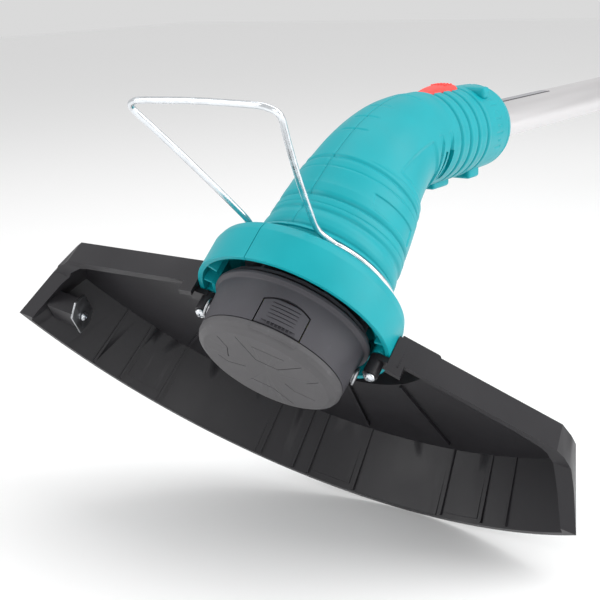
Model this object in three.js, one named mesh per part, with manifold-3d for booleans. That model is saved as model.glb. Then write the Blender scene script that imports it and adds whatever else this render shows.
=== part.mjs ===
// Cordless string trimmer lying at rest on the floor, in millimetres, +Z up.
// The shaft runs along X, the cutting head is at +X and the battery at -X.
// Three groups carry it: the head group (its own Z is the spool axis), the shaft
// group and the rear handle group. The whole is centred over its own bottom.
import * as THREE from 'three';
import { mergeVertices } from 'three/addons/utils/BufferGeometryUtils.js';
import Module from 'manifold-3d';

const wasm = await Module();
wasm.setup();

// ---- driving dimensions ----------------------------------------------------
const TUBE_R = 13.0; // lower tube, outside
const TUBE_WALL = 1.4;
const UPPER_R = 16.0; // upper tube, outside
const UPPER_WALL = 1.6;
const SHAFT_TILT = 48.95; // degrees between the shaft and the cutting plane
const NECK_HEIGHT = 124.0; // spool axis, from collar bottom to shaft axis
const SLEEVE_END = 111.7; // along the shaft, from that crossing to the end ring
const COLLAR_R = 57.9;
const COLLAR_TOP = 25.0;
const SHELL = 3.0; // wall of the moulded shells
const DRUM_R = 42.7;
const DRUM_DEPTH = 33.5;
const FLANGE_R = 46.2;
const GUARD_TURN = 20.9; // guard is set round the spool axis by this many degrees
const GUARD_TOP = 13.0;
const GUARD_FLOOR = -30.0;
const GUARD_WALL = 3.0;
const GUARD_CENTRE = [67.4, -5.3]; // centre of the skirt's arc
const GUARD_R_TOP = 216.0;
const GUARD_R_FLOOR = 229.0;
const BOSS_RING = 51.5;
const BOSS_SPREAD = 84.0; // degrees each side of the guard's back
const WIRE_R = 1.75;
const WIRE_LEVEL = 31.5;
const WIRE_REACH = 136.0;
const LOWER_END = 640.0; // along the shaft
const CABLE_START = 305.0;
const CLAMP_AT = 430.0;
const CLAMP_PIVOT = 29.0; // pin above the shaft axis
const UPPER_END = 905.0;
const AUX_AT = 655.0;
const GRIP_W = 17.5;
const GRIP_H = 19.5;
const FOOT_HALF = 37.0;
const NECK_SIDES = 24; // facets round the neck

// ---- colours ----------------------------------------------------------------
const paint = (color, roughness, metalness) =>
  new THREE.MeshStandardMaterial({ color, roughness, metalness });
const teal = paint(0x00a9b3, 0.38, 0.0);
const black = paint(0x35343a, 0.55, 0.0);
const satin = paint(0x2a2a2d, 0.4, 0.0);
const rubber = paint(0x1c1c1e, 0.85, 0.0);
const red = paint(0xf04a45, 0.45, 0.0);
const alloy = paint(0xd2d1d3, 0.35, 0.9);
const zinc = paint(0xc9ccd0, 0.25, 1.0);
const steel = paint(0xa9abae, 0.35, 1.0);
const copper = paint(0xb7783c, 0.35, 0.9);
const nylon = paint(0xd9e35a, 0.4, 0.0);
const cellBlue = paint(0x3c6fa8, 0.5, 0.1);

// ---- shapes -----------------------------------------------------------------
const rad = (degrees) => (degrees * Math.PI) / 180;

function solid(geometry) {
  const bare = geometry.clone();
  bare.deleteAttribute('normal');
  bare.deleteAttribute('uv');
  const merged = mergeVertices(bare, 1e-4);
  const index = merged.index.array;
  const kept = [];
  for (let i = 0; i < index.length; i += 3) {
    const [a, b, c] = [index[i], index[i + 1], index[i + 2]];
    if (a !== b && b !== c && c !== a) kept.push(a, b, c);
  }
  const mesh = new wasm.Mesh({
    numProp: 3,
    vertProperties: new Float32Array(merged.attributes.position.array),
    triVerts: new Uint32Array(kept),
  });
  return new wasm.Manifold(mesh);
}

function toGeometry(manifold) {
  const mesh = manifold.getMesh();
  const geometry = new THREE.BufferGeometry();
  const points = new Float32Array(mesh.vertProperties);
  geometry.setAttribute('position', new THREE.BufferAttribute(points, 3));
  geometry.setIndex(new THREE.BufferAttribute(new Uint32Array(mesh.triVerts), 1));
  geometry.computeVertexNormals();
  return geometry;
}

// Turned about Z from [radius, z] points that close on themselves.
function lathe(profile, segments = 32) {
  const loop = profile.map(([r, z]) => new THREE.Vector2(r, z));
  loop.push(loop[0].clone());
  let area = 0;
  for (let i = 0; i + 1 < loop.length; i += 1) {
    area += loop[i].x * loop[i + 1].y - loop[i + 1].x * loop[i].y;
  }
  if (area < 0) loop.reverse();
  const turned = new THREE.LatheGeometry(loop, segments);
  turned.rotateX(Math.PI / 2);
  return solid(turned);
}

const disc = (r, z0, z1, segments = 24) =>
  lathe([[0, z0], [r, z0], [r, z1], [0, z1]], segments);

const ring = (inner, outer, z0, z1, segments = 24) =>
  lathe([[inner, z0], [outer, z0], [outer, z1], [inner, z1]], segments);

function box(x0, x1, y0, y1, z0, z1) {
  const shape = new THREE.BoxGeometry(x1 - x0, y1 - y0, z1 - z0);
  shape.translate((x0 + x1) / 2, (y0 + y1) / 2, (z0 + z1) / 2);
  return solid(shape);
}

// Outline of [x, z] points given a thickness along Y, centred on y = 0.
function slab(points, halfY) {
  const outline = new THREE.Shape(points.map(([x, z]) => new THREE.Vector2(x, z)));
  const body = new THREE.ExtrudeGeometry(outline, { depth: 2 * halfY, bevelEnabled: false });
  body.rotateX(Math.PI / 2);
  body.translate(0, halfY, 0);
  return solid(body);
}

// Closed body through rings of equally many points, first to last.
function loft(rings) {
  const count = rings[0].length;
  const points = [];
  for (const loop of rings) for (const p of loop) points.push(p.x, p.y, p.z);
  const index = [];
  for (let k = 0; k + 1 < rings.length; k += 1) {
    for (let i = 0; i < count; i += 1) {
      const a = k * count + i;
      const b = k * count + ((i + 1) % count);
      index.push(a, b, b + count, a, b + count, a + count);
    }
  }
  const last = (rings.length - 1) * count;
  for (let i = 1; i + 1 < count; i += 1) {
    index.push(0, i + 1, i);
    index.push(last, last + i, last + i + 1);
  }
  const geometry = new THREE.BufferGeometry();
  geometry.setAttribute('position', new THREE.Float32BufferAttribute(points, 3));
  geometry.setIndex(index);
  const body = solid(geometry);
  if (body.volume() >= 0) return body;
  for (let i = 0; i < index.length; i += 3) {
    [index[i], index[i + 1]] = [index[i + 1], index[i]];
  }
  geometry.setIndex(index);
  return solid(geometry);
}

// Ring in a plane that contains Y, leaning back by tilt degrees from level.
function section(x, z, tilt, halfY, halfN, count = 32, power = 2.0) {
  const loop = [];
  for (let i = 0; i < count; i += 1) {
    const t = (2 * Math.PI * i) / count;
    const c = Math.sign(Math.cos(t)) * Math.abs(Math.cos(t)) ** (2 / power);
    const s = Math.sign(Math.sin(t)) * Math.abs(Math.sin(t)) ** (2 / power);
    const n = c * halfN;
    loop.push(
      new THREE.Vector3(x + n * Math.cos(rad(tilt)), s * halfY, z + n * Math.sin(rad(tilt))),
    );
  }
  return loop;
}

function placed(body, { turn = [0, 0, 0], move = [0, 0, 0] }) {
  const geometry = toGeometry(body);
  const euler = new THREE.Euler(rad(turn[0]), rad(turn[1]), rad(turn[2]), 'ZYX');
  const matrix = new THREE.Matrix4().makeRotationFromEuler(euler);
  matrix.setPosition(move[0], move[1], move[2]);
  geometry.applyMatrix4(matrix);
  return solid(geometry);
}

const alongY = (body, move = [0, 0, 0]) => placed(body, { turn: [-90, 0, 0], move });
const alongX = (body, move = [0, 0, 0]) => placed(body, { turn: [0, 90, 0], move });

function joined(...bodies) {
  return bodies.reduce((all, body) => all.add(body));
}

function cutBy(body, ...tools) {
  return tools.reduce((rest, tool) => rest.subtract(tool), body);
}

// Round wire swept along points.
function wire(points, radius, closed = false, count = 8, steps = 60, bend = 0.5) {
  const curve = new THREE.CatmullRomCurve3(
    points.map((p) => new THREE.Vector3(...p)),
    closed,
    'catmullrom',
    bend,
  );
  const outline = new THREE.Shape();
  for (let i = 0; i < count; i += 1) {
    const t = (2 * Math.PI * i) / count;
    const [u, v] = [radius * Math.cos(t), radius * Math.sin(t)];
    if (i === 0) outline.moveTo(u, v);
    else outline.lineTo(u, v);
  }
  outline.closePath();
  const swept = new THREE.ExtrudeGeometry(outline, { steps, extrudePath: curve });
  return solid(swept);
}

// Straight-sided coil spring along Z.
function coil(radius, wireR, z0, z1, turns, count = 6, perTurn = 10) {
  const points = [];
  const total = turns * perTurn;
  for (let i = 0; i <= total; i += 1) {
    const t = (2 * Math.PI * i) / perTurn;
    points.push([radius * Math.cos(t), radius * Math.sin(t), z0 + ((z1 - z0) * i) / total]);
  }
  return wire(points, wireR, false, count, total);
}

// Pan-head screw pointing up +Z from its head, head bottom at z = 0.
function screw(shaftR, headR, headH, length) {
  return lathe(
    [[0, headH * 0.5], [headR * 0.35, 0], [headR * 0.8, 0], [headR, headH * 0.4],
      [headR, headH], [shaftR, headH], [shaftR, headH + length], [0, headH + length]],
    10,
  );
}

const assembly = new THREE.Group();
assembly.name = 'string_trimmer';
const resting = new THREE.Group();
const head = new THREE.Group();
const shaft = new THREE.Group();
assembly.add(resting);
resting.add(head, shaft);

function put(group, name, body, material, where = {}) {
  const mesh = new THREE.Mesh(toGeometry(body), material);
  mesh.name = name;
  if (where.turn) mesh.rotation.set(...where.turn.map(rad), 'ZYX');
  if (where.move) mesh.position.set(...where.move);
  group.add(mesh);
  return mesh;
}

// ---- head group --------------------------------------------------------------
head.rotation.y = -rad(SHAFT_TILT);
head.position.set(
  NECK_HEIGHT * Math.sin(rad(SHAFT_TILT)),
  0,
  -NECK_HEIGHT * Math.cos(rad(SHAFT_TILT)),
);

const LEAN = 90 - SHAFT_TILT;
const onShaft = (s, off = 0) => [
  -s * Math.cos(rad(SHAFT_TILT)) + off * Math.cos(rad(LEAN)),
  NECK_HEIGHT + s * Math.sin(rad(SHAFT_TILT)) + off * Math.sin(rad(LEAN)),
];

// centre x, z, lean and radius of the neck from the collar to the sleeve
const neckLine = [
  [-2.5, 20, 0, 43.4], [-2.5, 34, 0, 43.2], [-2.5, 37, 0, 40.6], [-2.5, 50, 0, 39.6],
  [-2, 68, 0, 38.4], [-1.5, 88, 2, 36.4], [-2.5, 106, 8, 33.8], [-7, 125, 20, 31.2],
  [-14.5, 140, 32, 29.4],
];
for (const [s, r] of [[38, 28.4], [58, 28.2], [60, 29.4], [100, 27.4], [102, 25.6],
  [SLEEVE_END, 24.7]]) {
  const [x, z] = onShaft(s);
  neckLine.push([x, z, LEAN, r]);
}

function neckLoft(inset, first, last) {
  return loft(
    neckLine.slice(first, last).map(([x, z, lean, r]) =>
      section(x, z, lean, r - inset, r - inset, NECK_SIDES - (inset > 1 ? 8 : 0))),
  );
}

// Puts a body made along Z onto the shaft axis of the head group, s from the crossing.
const toShaft = (body, s) => {
  const [x, z] = onShaft(s);
  return placed(body, { turn: [0, -LEAN, 0], move: [x, 0, z] });
};

const collarOuter = lathe(
  [[0, 0], [COLLAR_R, 0], [COLLAR_R, 19], [57, 22.5], [54, COLLAR_TOP], [48, 28.5], [0, 28.5]],
  36,
);
const collarChannel = ring(49.9, COLLAR_R - SHELL + 0.3, -5, 18, 24);
const collarHollow = lathe([[0, -5], [47.4, -5], [47.4, 14], [40, 19], [0, 19]], 24);
const neckHollow = neckLoft(SHELL, 0, 10);
const bushHollow = toShaft(disc(19.7, 0, 56, 18), 50);
const tubeHole = toShaft(disc(TUBE_R + 0.6, 0, 30, 18), 95);
let neck = joined(collarOuter, neckLoft(0, 0, neckLine.length));
// raised bar over the sleeve and the two screw lugs under it
neck = joined(
  neck,
  toShaft(box(18, 26.5, -20, 20, 0, 9), 86),
  toShaft(box(-31, -20, -9, 9, 0, 20), 42),
  toShaft(box(-29.5, -18, -14, 14, 0, 14), 78),
);
neck = cutBy(neck, collarChannel, collarHollow, neckHollow.add(disc(39.6, 10, 22, 24)));
neck = cutBy(neck, bushHollow, tubeHole);

// bosses that take the guard's screws
const bossAngles = [180 + GUARD_TURN + BOSS_SPREAD, 180 + GUARD_TURN - BOSS_SPREAD];
const bossAt = (angle) => [BOSS_RING * Math.cos(rad(angle)), BOSS_RING * Math.sin(rad(angle))];
for (const angle of bossAngles) {
  const [x, y] = bossAt(angle);
  neck = neck.add(placed(disc(4.4, 0.4, 18.2, 10), { move: [x, y, 0] }));
  neck = neck.subtract(placed(disc(1.9, -1, 14, 10), { move: [x, y, 0] }));
}

// bosses for the screws that hold the two halves together
const joinScrews = [[15, 108, 20], [-26, 108, 15], [...onShaft(78, -23.8), 9]];
for (const [x, z, half] of joinScrews) {
  const post = alongY(disc(4.2, -half - 9, half + 9, 10), [x, 0, z]);
  const inside = neckLoft(0.5, 0, neckLine.length);
  neck = neck.add(post.intersect(inside));
  neck = neck.subtract(alongY(disc(1.8, -half - 1, half - 4, 10), [x, 0, z]));
  neck = neck.subtract(alongY(disc(3.6, -60, -half, 12), [x, 0, z]));
}

// window for the swivel button on top of the sleeve, and cooling slots behind the bend
const buttonWindow = toShaft(box(10, 40, -8.3, 8.3, 0, 33), 44);
neck = cutBy(neck, buttonWindow);
for (const s of [27, 33]) {
  for (const edge of [-40, 16]) {
    neck = neck.subtract(toShaft(box(-13, 8, edge, edge + 24, -1.1, 1.1), s));
  }
}
const plusY = box(-200, 200, 0.15, 100, -100, 300);
const minusY = box(-200, 200, -100, -0.15, -100, 300);
put(head, 'neck_shell_left', neck.intersect(plusY), teal);
put(head, 'neck_shell_right', neck.intersect(minusY), teal);
joinScrews.forEach(([x, z, half], i) => {
  const body = screw(1.5, 3.2, 2.4, half * 2 - 6);
  put(head, `neck_screw_${i + 1}`, body, zinc, { turn: [-90, 0, 0], move: [x, -half - 2.5, z] });
});

// motor with its mounting plate
const motorCan = joined(
  disc(26, 30, 84, 20),
  lathe([[0, 20], [36, 20], [36, 23], [26, 31], [0, 31]], 20),
  disc(8, 83, 90, 16),
);
put(head, 'motor', cutBy(motorCan, disc(2.9, 0, 95, 12)), steel);
put(head, 'motor_cover', lathe(
  [[4.2, 15.4], [34, 15.4], [39, 19.7], [4.2, 19.7]], 20,
), black);

// swivel button, its spring and the bush it locks
const button = slab(
  [[20.2, 0.6], [27.6, 0.6], [32.2, 6], [33.4, 14], [31.2, 30], [28.5, 32.2], [24.2, 32.2],
    [24.2, 14], [20.2, 14]],
  7.8,
);
const [windowX, windowZ] = onShaft(44);
put(head, 'swivel_button', button, red, { turn: [0, -LEAN, 0], move: [windowX, 0, windowZ] });
const [springX, springZ] = onShaft(44 + 23, 17.1);
put(head, 'swivel_spring', coil(2.6, 0.45, 0, 6.7, 3, 4, 7), steel, {
  turn: [0, 90 - LEAN, 0], move: [springX, 0, springZ],
});
const bush = cutBy(
  joined(ring(TUBE_R + 0.35, 19.2, 0, 46, 18), ring(TUBE_R + 0.35, 17.6, -6, 1, 18)),
  box(16.8, 25, -8.6, 8.6, -8, 21.5),
  box(-25, -16.8, -8.6, 8.6, -8, 21.5),
);
const [bushX, bushZ] = onShaft(56.5);
put(head, 'swivel_bush', bush, black, { turn: [0, -LEAN, 0], move: [bushX, 0, bushZ] });

// ---- guard, in its own turned group -----------------------------------------
const guardGroup = new THREE.Group();
guardGroup.rotation.z = rad(GUARD_TURN);
head.add(guardGroup);

function guardOutline(radius, spread, z, inset, end, corners) {
  const loop = [];
  const [cu, cv] = GUARD_CENTRE;
  const cut = ((end / radius) * 180) / Math.PI;
  const pieces = 13;
  for (const [u, v] of corners) {
    const away = v < 0 ? 1 : -1;
    const nearEnd = Math.abs(v) > 140 ? end : 0;
    loop.push(new THREE.Vector3(u - inset * 1.06, v + away * nearEnd, z));
  }
  for (let i = 0; i <= pieces; i += 1) {
    const a = rad(180 - (spread - cut) + ((spread - cut) * 2 * i) / pieces);
    loop.push(
      new THREE.Vector3(
        cu + (radius - inset) * Math.cos(a),
        cv + (radius - inset) * Math.sin(a),
        z,
      ),
    );
  }
  return loop;
}

const topCorners = [[-46, -163], [-38, -160], [-30, -154], [26, -8], [-34, 151.7],
  [-44, 157.5], [-53, 161]];
const floorCorners = [[-52, -181], [-44, -174], [-34, -160], [26, -8], [-38, 158],
  [-48, 170], [-56, 174]];
const guardOuter = loft([
  guardOutline(GUARD_R_TOP, 50, GUARD_TOP, 0, 0, topCorners),
  guardOutline(GUARD_R_FLOOR, 53, GUARD_FLOOR, 0, 0, floorCorners),
]);
const below = GUARD_FLOOR - 2;
const guardInner = loft([
  guardOutline(GUARD_R_TOP, 50, GUARD_TOP - GUARD_WALL, GUARD_WALL, 8, topCorners),
  guardOutline(GUARD_R_FLOOR + 0.6, 53, below, GUARD_WALL, 8, floorCorners),
]);
const floorCut = slab(
  [[80, -60], [80, -1.5], [-32, -1.5], [-48, -4], [-70, GUARD_FLOOR], [-70, -60]],
  250,
);
let guard = cutBy(guardOuter, guardInner);
// raised roof round the collar and the risers down to the screw bosses
const roof = lathe(
  [[COLLAR_R + 0.5, 18.5], [79.5, 18.5], [79.5, GUARD_TOP - GUARD_WALL], [82.5, 10],
    [82.5, 21.5], [COLLAR_R + 0.5, 21.5]],
  28,
);
const upPrism = loft([
  guardOutline(GUARD_R_TOP, 50, 40, 0, 0, topCorners),
  guardOutline(GUARD_R_TOP, 50, -20, 0, 0, topCorners),
]);
guard = cutBy(guard, disc(79.5, -40, 40, 28));
guard = guard.add(roof.intersect(upPrism));
const frontWalls = guardOuter
  .subtract(guardInner)
  .intersect(disc(84, -8, 40, 32))
  .subtract(disc(COLLAR_R + 0.5, -60, 60, 36))
  .intersect(box(-33, 40, -90, 90, -20, 40));
const risers = [];
for (const angle of [BOSS_SPREAD, -BOSS_SPREAD]) {
  const [x, y] = [-Math.cos(rad(angle)), -Math.sin(rad(angle))];
  const radial = (180 / Math.PI) * Math.atan2(y, x);
  const bridge = placed(box(BOSS_RING, 64, -5, 5, -3.6, -0.4), { turn: [0, 0, radial] });
  const riser = placed(box(COLLAR_R + 0.5, 64, -8, 8, -3.6, 20), { turn: [0, 0, radial] });
  const post = placed(disc(4.4, -12, -0.4, 10), { move: [BOSS_RING * x, BOSS_RING * y, 0] });
  risers.push([bridge, riser, post, [BOSS_RING * x, BOSS_RING * y, 0]]);
}
guard = guard.add(frontWalls);
for (const [bridge, riser, post] of risers) guard = joined(guard, bridge, riser, post);
for (const [, , , move] of risers) {
  guard = guard.subtract(placed(disc(1.9, -20, 0, 10), { move }));
}
guard = guard.subtract(disc(COLLAR_R + 0.5, -0.2, 30, 36));
guard = cutBy(guard, floorCut.subtract(disc(COLLAR_R + 9, -20, 0, 32)));
// pad for the line cutter at the guard's left end
const padX = -72;
guard = guard.add(
  box(padX - 9, padX + 9, -170, -152, -21, -9).intersect(guardOuter),
);
const padHole = alongY(disc(1.5, -8, 0.1, 10), [padX - 2, -152, -15]);
guard = guard.subtract(padHole);
put(guardGroup, 'guard', guard, satin);
risers.forEach(([, , , move], i) => {
  put(guardGroup, `guard_screw_${i + 1}`, screw(1.6, 3.6, 2.4, 24), zinc, {
    move: [move[0], move[1], -14.7],
  });
});
const blade = slab(
  [[-12, -8], [8, -8], [14, 0], [10, 9], [-10, 9], [-14, 2]], 0.6,
).subtract(alongY(disc(1.8, -5, 5, 10), [-2, 0, 0]));
put(guardGroup, 'cutter_blade', blade, steel, { move: [padX, -151.0, -15] });
put(guardGroup, 'blade_screw', screw(1.2, 3.0, 2.0, 7), zinc, {
  turn: [90, 0, 0], move: [padX - 2, -148.0, -15],
});

// ---- plant guard wire round the neck ------------------------------------------
const wirePoints = [];
const wireRing = 45.4;
const arc = [122, 105, 88, 70, 52, 36];
for (const a of arc) {
  wirePoints.push([-2.5 + wireRing * Math.cos(rad(-a)), wireRing * Math.sin(rad(-a)), WIRE_LEVEL]);
}
const sideRun = [[42.5, 22.5], [60, 26.2], [90, 34.6], [118, 42.8], [WIRE_REACH - 8, 46.2],
  [WIRE_REACH - 1.5, 45], [WIRE_REACH + 1.5, 39]];
for (const [x, y] of sideRun) wirePoints.push([x, -y, WIRE_LEVEL]);
wirePoints.push([WIRE_REACH + 3.5, 0, WIRE_LEVEL]);
for (const [x, y] of [...sideRun].reverse()) wirePoints.push([x, y, WIRE_LEVEL]);
for (const a of [...arc].reverse()) {
  wirePoints.push([-2.5 + wireRing * Math.cos(rad(a)), wireRing * Math.sin(rad(a)), WIRE_LEVEL]);
}
put(head, 'wire_guard', wire(wirePoints, WIRE_R, false, 6, 50), zinc);

// ---- spool head ----------------------------------------------------------------
const spool = new THREE.Group();
head.add(spool);
put(spool, 'motor_shaft', joined(disc(2.5, -14, 94, 12), disc(3.6, -6, 8, 12)), steel);
const fan = cutBy(
  joined(disc(9, 2.6, 13, 18), ring(8, 44, 2.6, 4.2, 20)),
  disc(3.9, 0, 9, 12), disc(2.8, 0, 20, 12),
);
let fanBody = fan;
for (let i = 0; i < 7; i += 1) {
  fanBody = fanBody.add(placed(box(8, 42, -0.8, 0.8, 3, 11), { turn: [0, 0, (i * 360) / 7] }));
}
put(spool, 'cooling_fan', fanBody, black);
const latchAngles = [32.5, 212.5];
const housing = lathe(
  [[3.9, 0.6], [FLANGE_R, 0.6], [FLANGE_R, -1], [DRUM_R + 0.8, -3], [DRUM_R - 0.5, -26],
    [DRUM_R - 3, -26], [DRUM_R - 2.4, -3], [7, -3], [7, -9], [3.9, -9]],
  28,
);
let housingBody = housing;
for (const angle of latchAngles) {
  housingBody = housingBody.subtract(
    placed(box(30, 60, -13.4, 13.4, -27, -9.4), { turn: [0, 0, angle] }),
  );
}
const eyeAngles = [122.5, 302.5];
for (const angle of eyeAngles) {
  housingBody = housingBody.subtract(
    placed(alongX(disc(4.2, 30, 60, 14), [0, 0, -14]), { turn: [0, 0, angle] }),
  );
}
put(spool, 'spool_housing', housingBody, black);
const cap = lathe(
  [[0, -DRUM_DEPTH], [37, -DRUM_DEPTH], [40.5, -32.2], [DRUM_R - 0.7, -29.4],
    [DRUM_R - 0.6, -26.3], [DRUM_R - 3, -26.3], [DRUM_R - 4, -30.5], [6, -30.5], [6, -24],
    [0, -24]],
  28,
);
put(spool, 'spool_cap', cap, black);
const bobbin = lathe(
  [[7.6, -28.5], [35, -28.5], [35, -26.7], [18, -26.7], [18, -5.6], [35, -5.6], [35, -3.8],
    [7.6, -3.8], [7.6, -9.4], [14, -9.4], [14, -23], [7.6, -23]],
  20,
);
put(spool, 'inner_spool', bobbin, red);
put(spool, 'line_coil', ring(18.4, 31.5, -26.2, -6.1, 20), nylon);
put(spool, 'feed_spring', coil(10.5, 0.7, -22.2, -10.2, 3, 4, 8), steel);
eyeAngles.forEach((angle, i) => {
  const eye = lathe(
    [[1.6, -4.6], [3.9, -4.6], [3.9, 1.2], [5.2, 1.2], [5.2, 2.6], [1.6, 2.6]], 10,
  );
  put(spool, `line_eyelet_${i + 1}`, eye, steel, {
    turn: [0, 90, angle],
    move: [42.6 * Math.cos(rad(angle)), 42.6 * Math.sin(rad(angle)), -14],
  });
});
latchAngles.forEach((angle, i) => {
  let latch = lathe(
    [[DRUM_R - 3.4, -25.6], [DRUM_R - 0.4, -25.6], [DRUM_R + 0.2, -9.9], [DRUM_R - 2.8, -9.9]],
    72,
  ).intersect(placed(box(30, 60, -13, 13, -30, 0), { turn: [0, 0, angle] }));
  for (let k = 0; k < 4; k += 1) {
    const groove = box(DRUM_R - 0.9, 60, -9, 9, -21.6 + k * 3, -20.5 + k * 3);
    latch = latch.subtract(placed(groove, { turn: [0, 0, angle] }));
  }
  put(spool, `cap_latch_${i + 1}`, latch, black);
});

// ---- shaft group: X runs forward, the shaft axis is z = 0 ----------------------
const lowerStart = 52;
put(shaft, 'lower_tube', ring(TUBE_R - TUBE_WALL, TUBE_R, 0, LOWER_END - lowerStart, 24), alloy, {
  turn: [0, -90, 0], move: [-lowerStart, 0, 0],
});
const upperStart = CLAMP_AT + 22;
put(shaft, 'upper_tube', ring(UPPER_R - UPPER_WALL, UPPER_R, 0, UPPER_END - upperStart, 24),
  alloy, { turn: [0, -90, 0], move: [-upperStart, 0, 0] });
// the lead starts behind the furthest point the sleeve slides back to
put(shaft, 'power_cable', disc(2.6, 0, UPPER_END - CABLE_START - 10, 10), rubber, {
  turn: [0, -90, 0], move: [-CABLE_START, 0, 0],
});

// telescope clamp: collar round both tubes, split on top, closed by a lever
const clampBody = cutBy(
  joined(
    lathe([[0, -30], [17.5, -30], [21, -24], [22, 8], [22, 36], [19.5, 42], [0, 42]], 24),
    box(14, CLAMP_PIVOT + 4, -9, 9, -16, 2),
  ),
  disc(TUBE_R + 0.45, -40, 21.7, 24),
  disc(UPPER_R + 0.45, 21.4, 60, 24),
  box(10, 40, -0.9, 0.9, -40, 21),
  alongY(disc(2.4, -20, 20, 12), [CLAMP_PIVOT, 0, -8]),
);
put(shaft, 'clamp_body', clampBody, teal, { turn: [0, -90, 0], move: [-CLAMP_AT, 0, 0] });
const lever = cutBy(
  slab(
    [[-5, -4], [6, -5.6], [14, -4.2], [46, -2.5], [49, 0.5], [46, 3.5], [14, 4.5], [4, 6],
      [-5, 4]],
    12.5,
  ),
  box(-8, 13, -9.4, 9.4, -20, 20),
  alongY(disc(2.4, -20, 20, 12)),
);
put(shaft, 'clamp_lever', lever, black, { turn: [0, 180, 0], move: [-CLAMP_AT + 8, 0, CLAMP_PIVOT] });
put(shaft, 'clamp_pin', joined(disc(2.1, -12.4, 12.4, 12)), zinc, {
  turn: [90, 0, 0], move: [-CLAMP_AT + 8, 0, CLAMP_PIVOT],
});

// auxiliary handle: base clamped on the upper tube, tilting loop, knob and bolt
const auxBase = cutBy(
  joined(
    alongX(ring(UPPER_R + 0.4, 22, -22, 22, 24)),
    box(-13, 13, -12, 12, 17, 42),
  ),
  alongX(disc(UPPER_R + 0.4, -30, 30, 24)),
  alongY(disc(3.4, -40, 40, 14), [0, 0, 33]),
);
put(shaft, 'aux_base', auxBase, black, { move: [-AUX_AT, 0, 0] });
const side = [[19, 36], [31, 50], [52, 72], [61, 100], [52, 128], [30, 144]];
const loopPoints = side.map(([y, z]) => [0, -y, z]);
loopPoints.push([0, 0, 148]);
for (const [y, z] of [...side].reverse()) loopPoints.push([0, y, z]);
let auxLoop = wire(loopPoints, 9.5, false, 8, 20);
for (const y of [-1, 1]) {
  const hub = alongY(disc(12.5, 12.4, 24, 16), [0, 0, 33]);
  auxLoop = auxLoop.add(y > 0 ? hub : placed(hub, { turn: [0, 0, 180] }));
}
auxLoop = auxLoop.subtract(box(-20, 20, -12.4, 12.4, 10, 60));
auxLoop = auxLoop.subtract(alongY(disc(3.4, -40, 40, 14), [0, 0, 33]));
for (const turn of [0, 180]) {
  const face = alongY(disc(16, 24, 60, 12), [0, 0, 33]);
  auxLoop = auxLoop.subtract(placed(face, { turn: [0, 0, turn] }));
}
put(shaft, 'aux_loop', auxLoop, rubber, { move: [-AUX_AT, 0, 0] });
const knobParts = [ring(3.4, 11, 0, 12, 12), disc(11, 10, 13, 12)];
for (let i = 0; i < 3; i += 1) {
  knobParts.push(placed(disc(4, 0, 12, 7), {
    move: [11 * Math.cos(rad(i * 120)), 11 * Math.sin(rad(i * 120)), 0],
  }));
}
const knob = joined(...knobParts).subtract(disc(3.4, -1, 10, 14));
put(shaft, 'aux_knob', knob, black, { turn: [-90, 0, 0], move: [-AUX_AT, 24.4, 33] });
put(shaft, 'aux_bolt', joined(disc(6.5, -5, 0, 6), disc(3, -0.5, 56, 14)), zinc, {
  turn: [-90, 0, 0], move: [-AUX_AT, -24.4, 33],
});

// rear handle: [x, z, lean, half width, half height, squareness]
const handleLine = [
  [-838, 0, 90, 20, 20, 2], [-846, 0, 90, 22.5, 22.5, 2], [-880, -1, 92, 23, 24, 2.2],
  [-906, -8, 108, 21, 24, 2.3], [-926, -21, 122, 18.2, 21, 2.4],
  [-960, -47, 126, GRIP_W, GRIP_H, 2.4], [-1000, -76, 126, GRIP_W, GRIP_H, 2.4],
  [-1022, -95, 134, 20, 23, 2.6], [-1038, -116, 150, 27, 31, 3], [-1045, -138, 172, 34, 46, 4],
  [-1047, -152, 180, FOOT_HALF, 60, 6], [-1047, -165, 180, FOOT_HALF, 61, 6],
];
const handleLoft = (inset, first, last) =>
  loft(handleLine.slice(first, last).map(([x, z, lean, hy, hn, power]) =>
    section(x, z, lean, hy - inset, hn - inset, 20 - (inset > 1 ? 4 : 0), power)));
let handle = handleLoft(0, 0, handleLine.length);
handle = handle.subtract(handleLoft(SHELL, 3, 11));
handle = handle.subtract(alongX(disc(UPPER_R + 0.6, -910, -830, 18)));
const railWide = box(-1115, -992, -28, 28, -163, -158.2);
const railNeck = box(-1115, -992, -22.6, 22.6, -170, -158.2);
const terminalHole = box(-1012, -991, -12.3, 12.3, -159, -151.7);
handle = handle.add(
  box(-1100, -993, -33, 33, -157.9, -149).intersect(handleLoft(0.5, 0, handleLine.length)),
);
handle = cutBy(handle, railWide, railNeck, terminalHole);
const gripTurn = [0, -36, 0];
const gripAt = [-935, 0, -29];
const inGrip = (body) => placed(body, { turn: gripTurn, move: gripAt });
handle = handle.subtract(inGrip(box(-17, 23, -8, 8, -40, -9)));
handle = handle.subtract(inGrip(box(-1, 13, -6.3, 6.3, 12, 40)));
handle = handle.subtract(inGrip(alongY(disc(1.8, -10.9, 10.9, 10), [16, 0, -15])));
const handleScrews = [[-868, -19.3, 8], [-990, -69, 11], [-1062, -135, 20]];
for (const [x, z, half] of handleScrews) {
  const post = alongY(disc(4.4, -half - 16, half + 16, 10), [x, 0, z]);
  handle = handle.add(post.intersect(handleLoft(0.5, 0, handleLine.length)));
  handle = handle.subtract(alongY(disc(1.8, -half - 1, half - 3, 10), [x, 0, z]));
  handle = handle.subtract(alongY(disc(3.6, -60, -half, 12), [x, 0, z]));
}
handle = handle.subtract(alongX(disc(UPPER_R + 0.6, -910, -830, 18)));
const handleLeft = handle.intersect(box(-1200, -800, 0.15, 60, -200, 60));
const handleRight = handle.intersect(box(-1200, -800, -60, -0.15, -200, 60));
put(shaft, 'handle_shell_left', handleLeft, teal);
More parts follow.
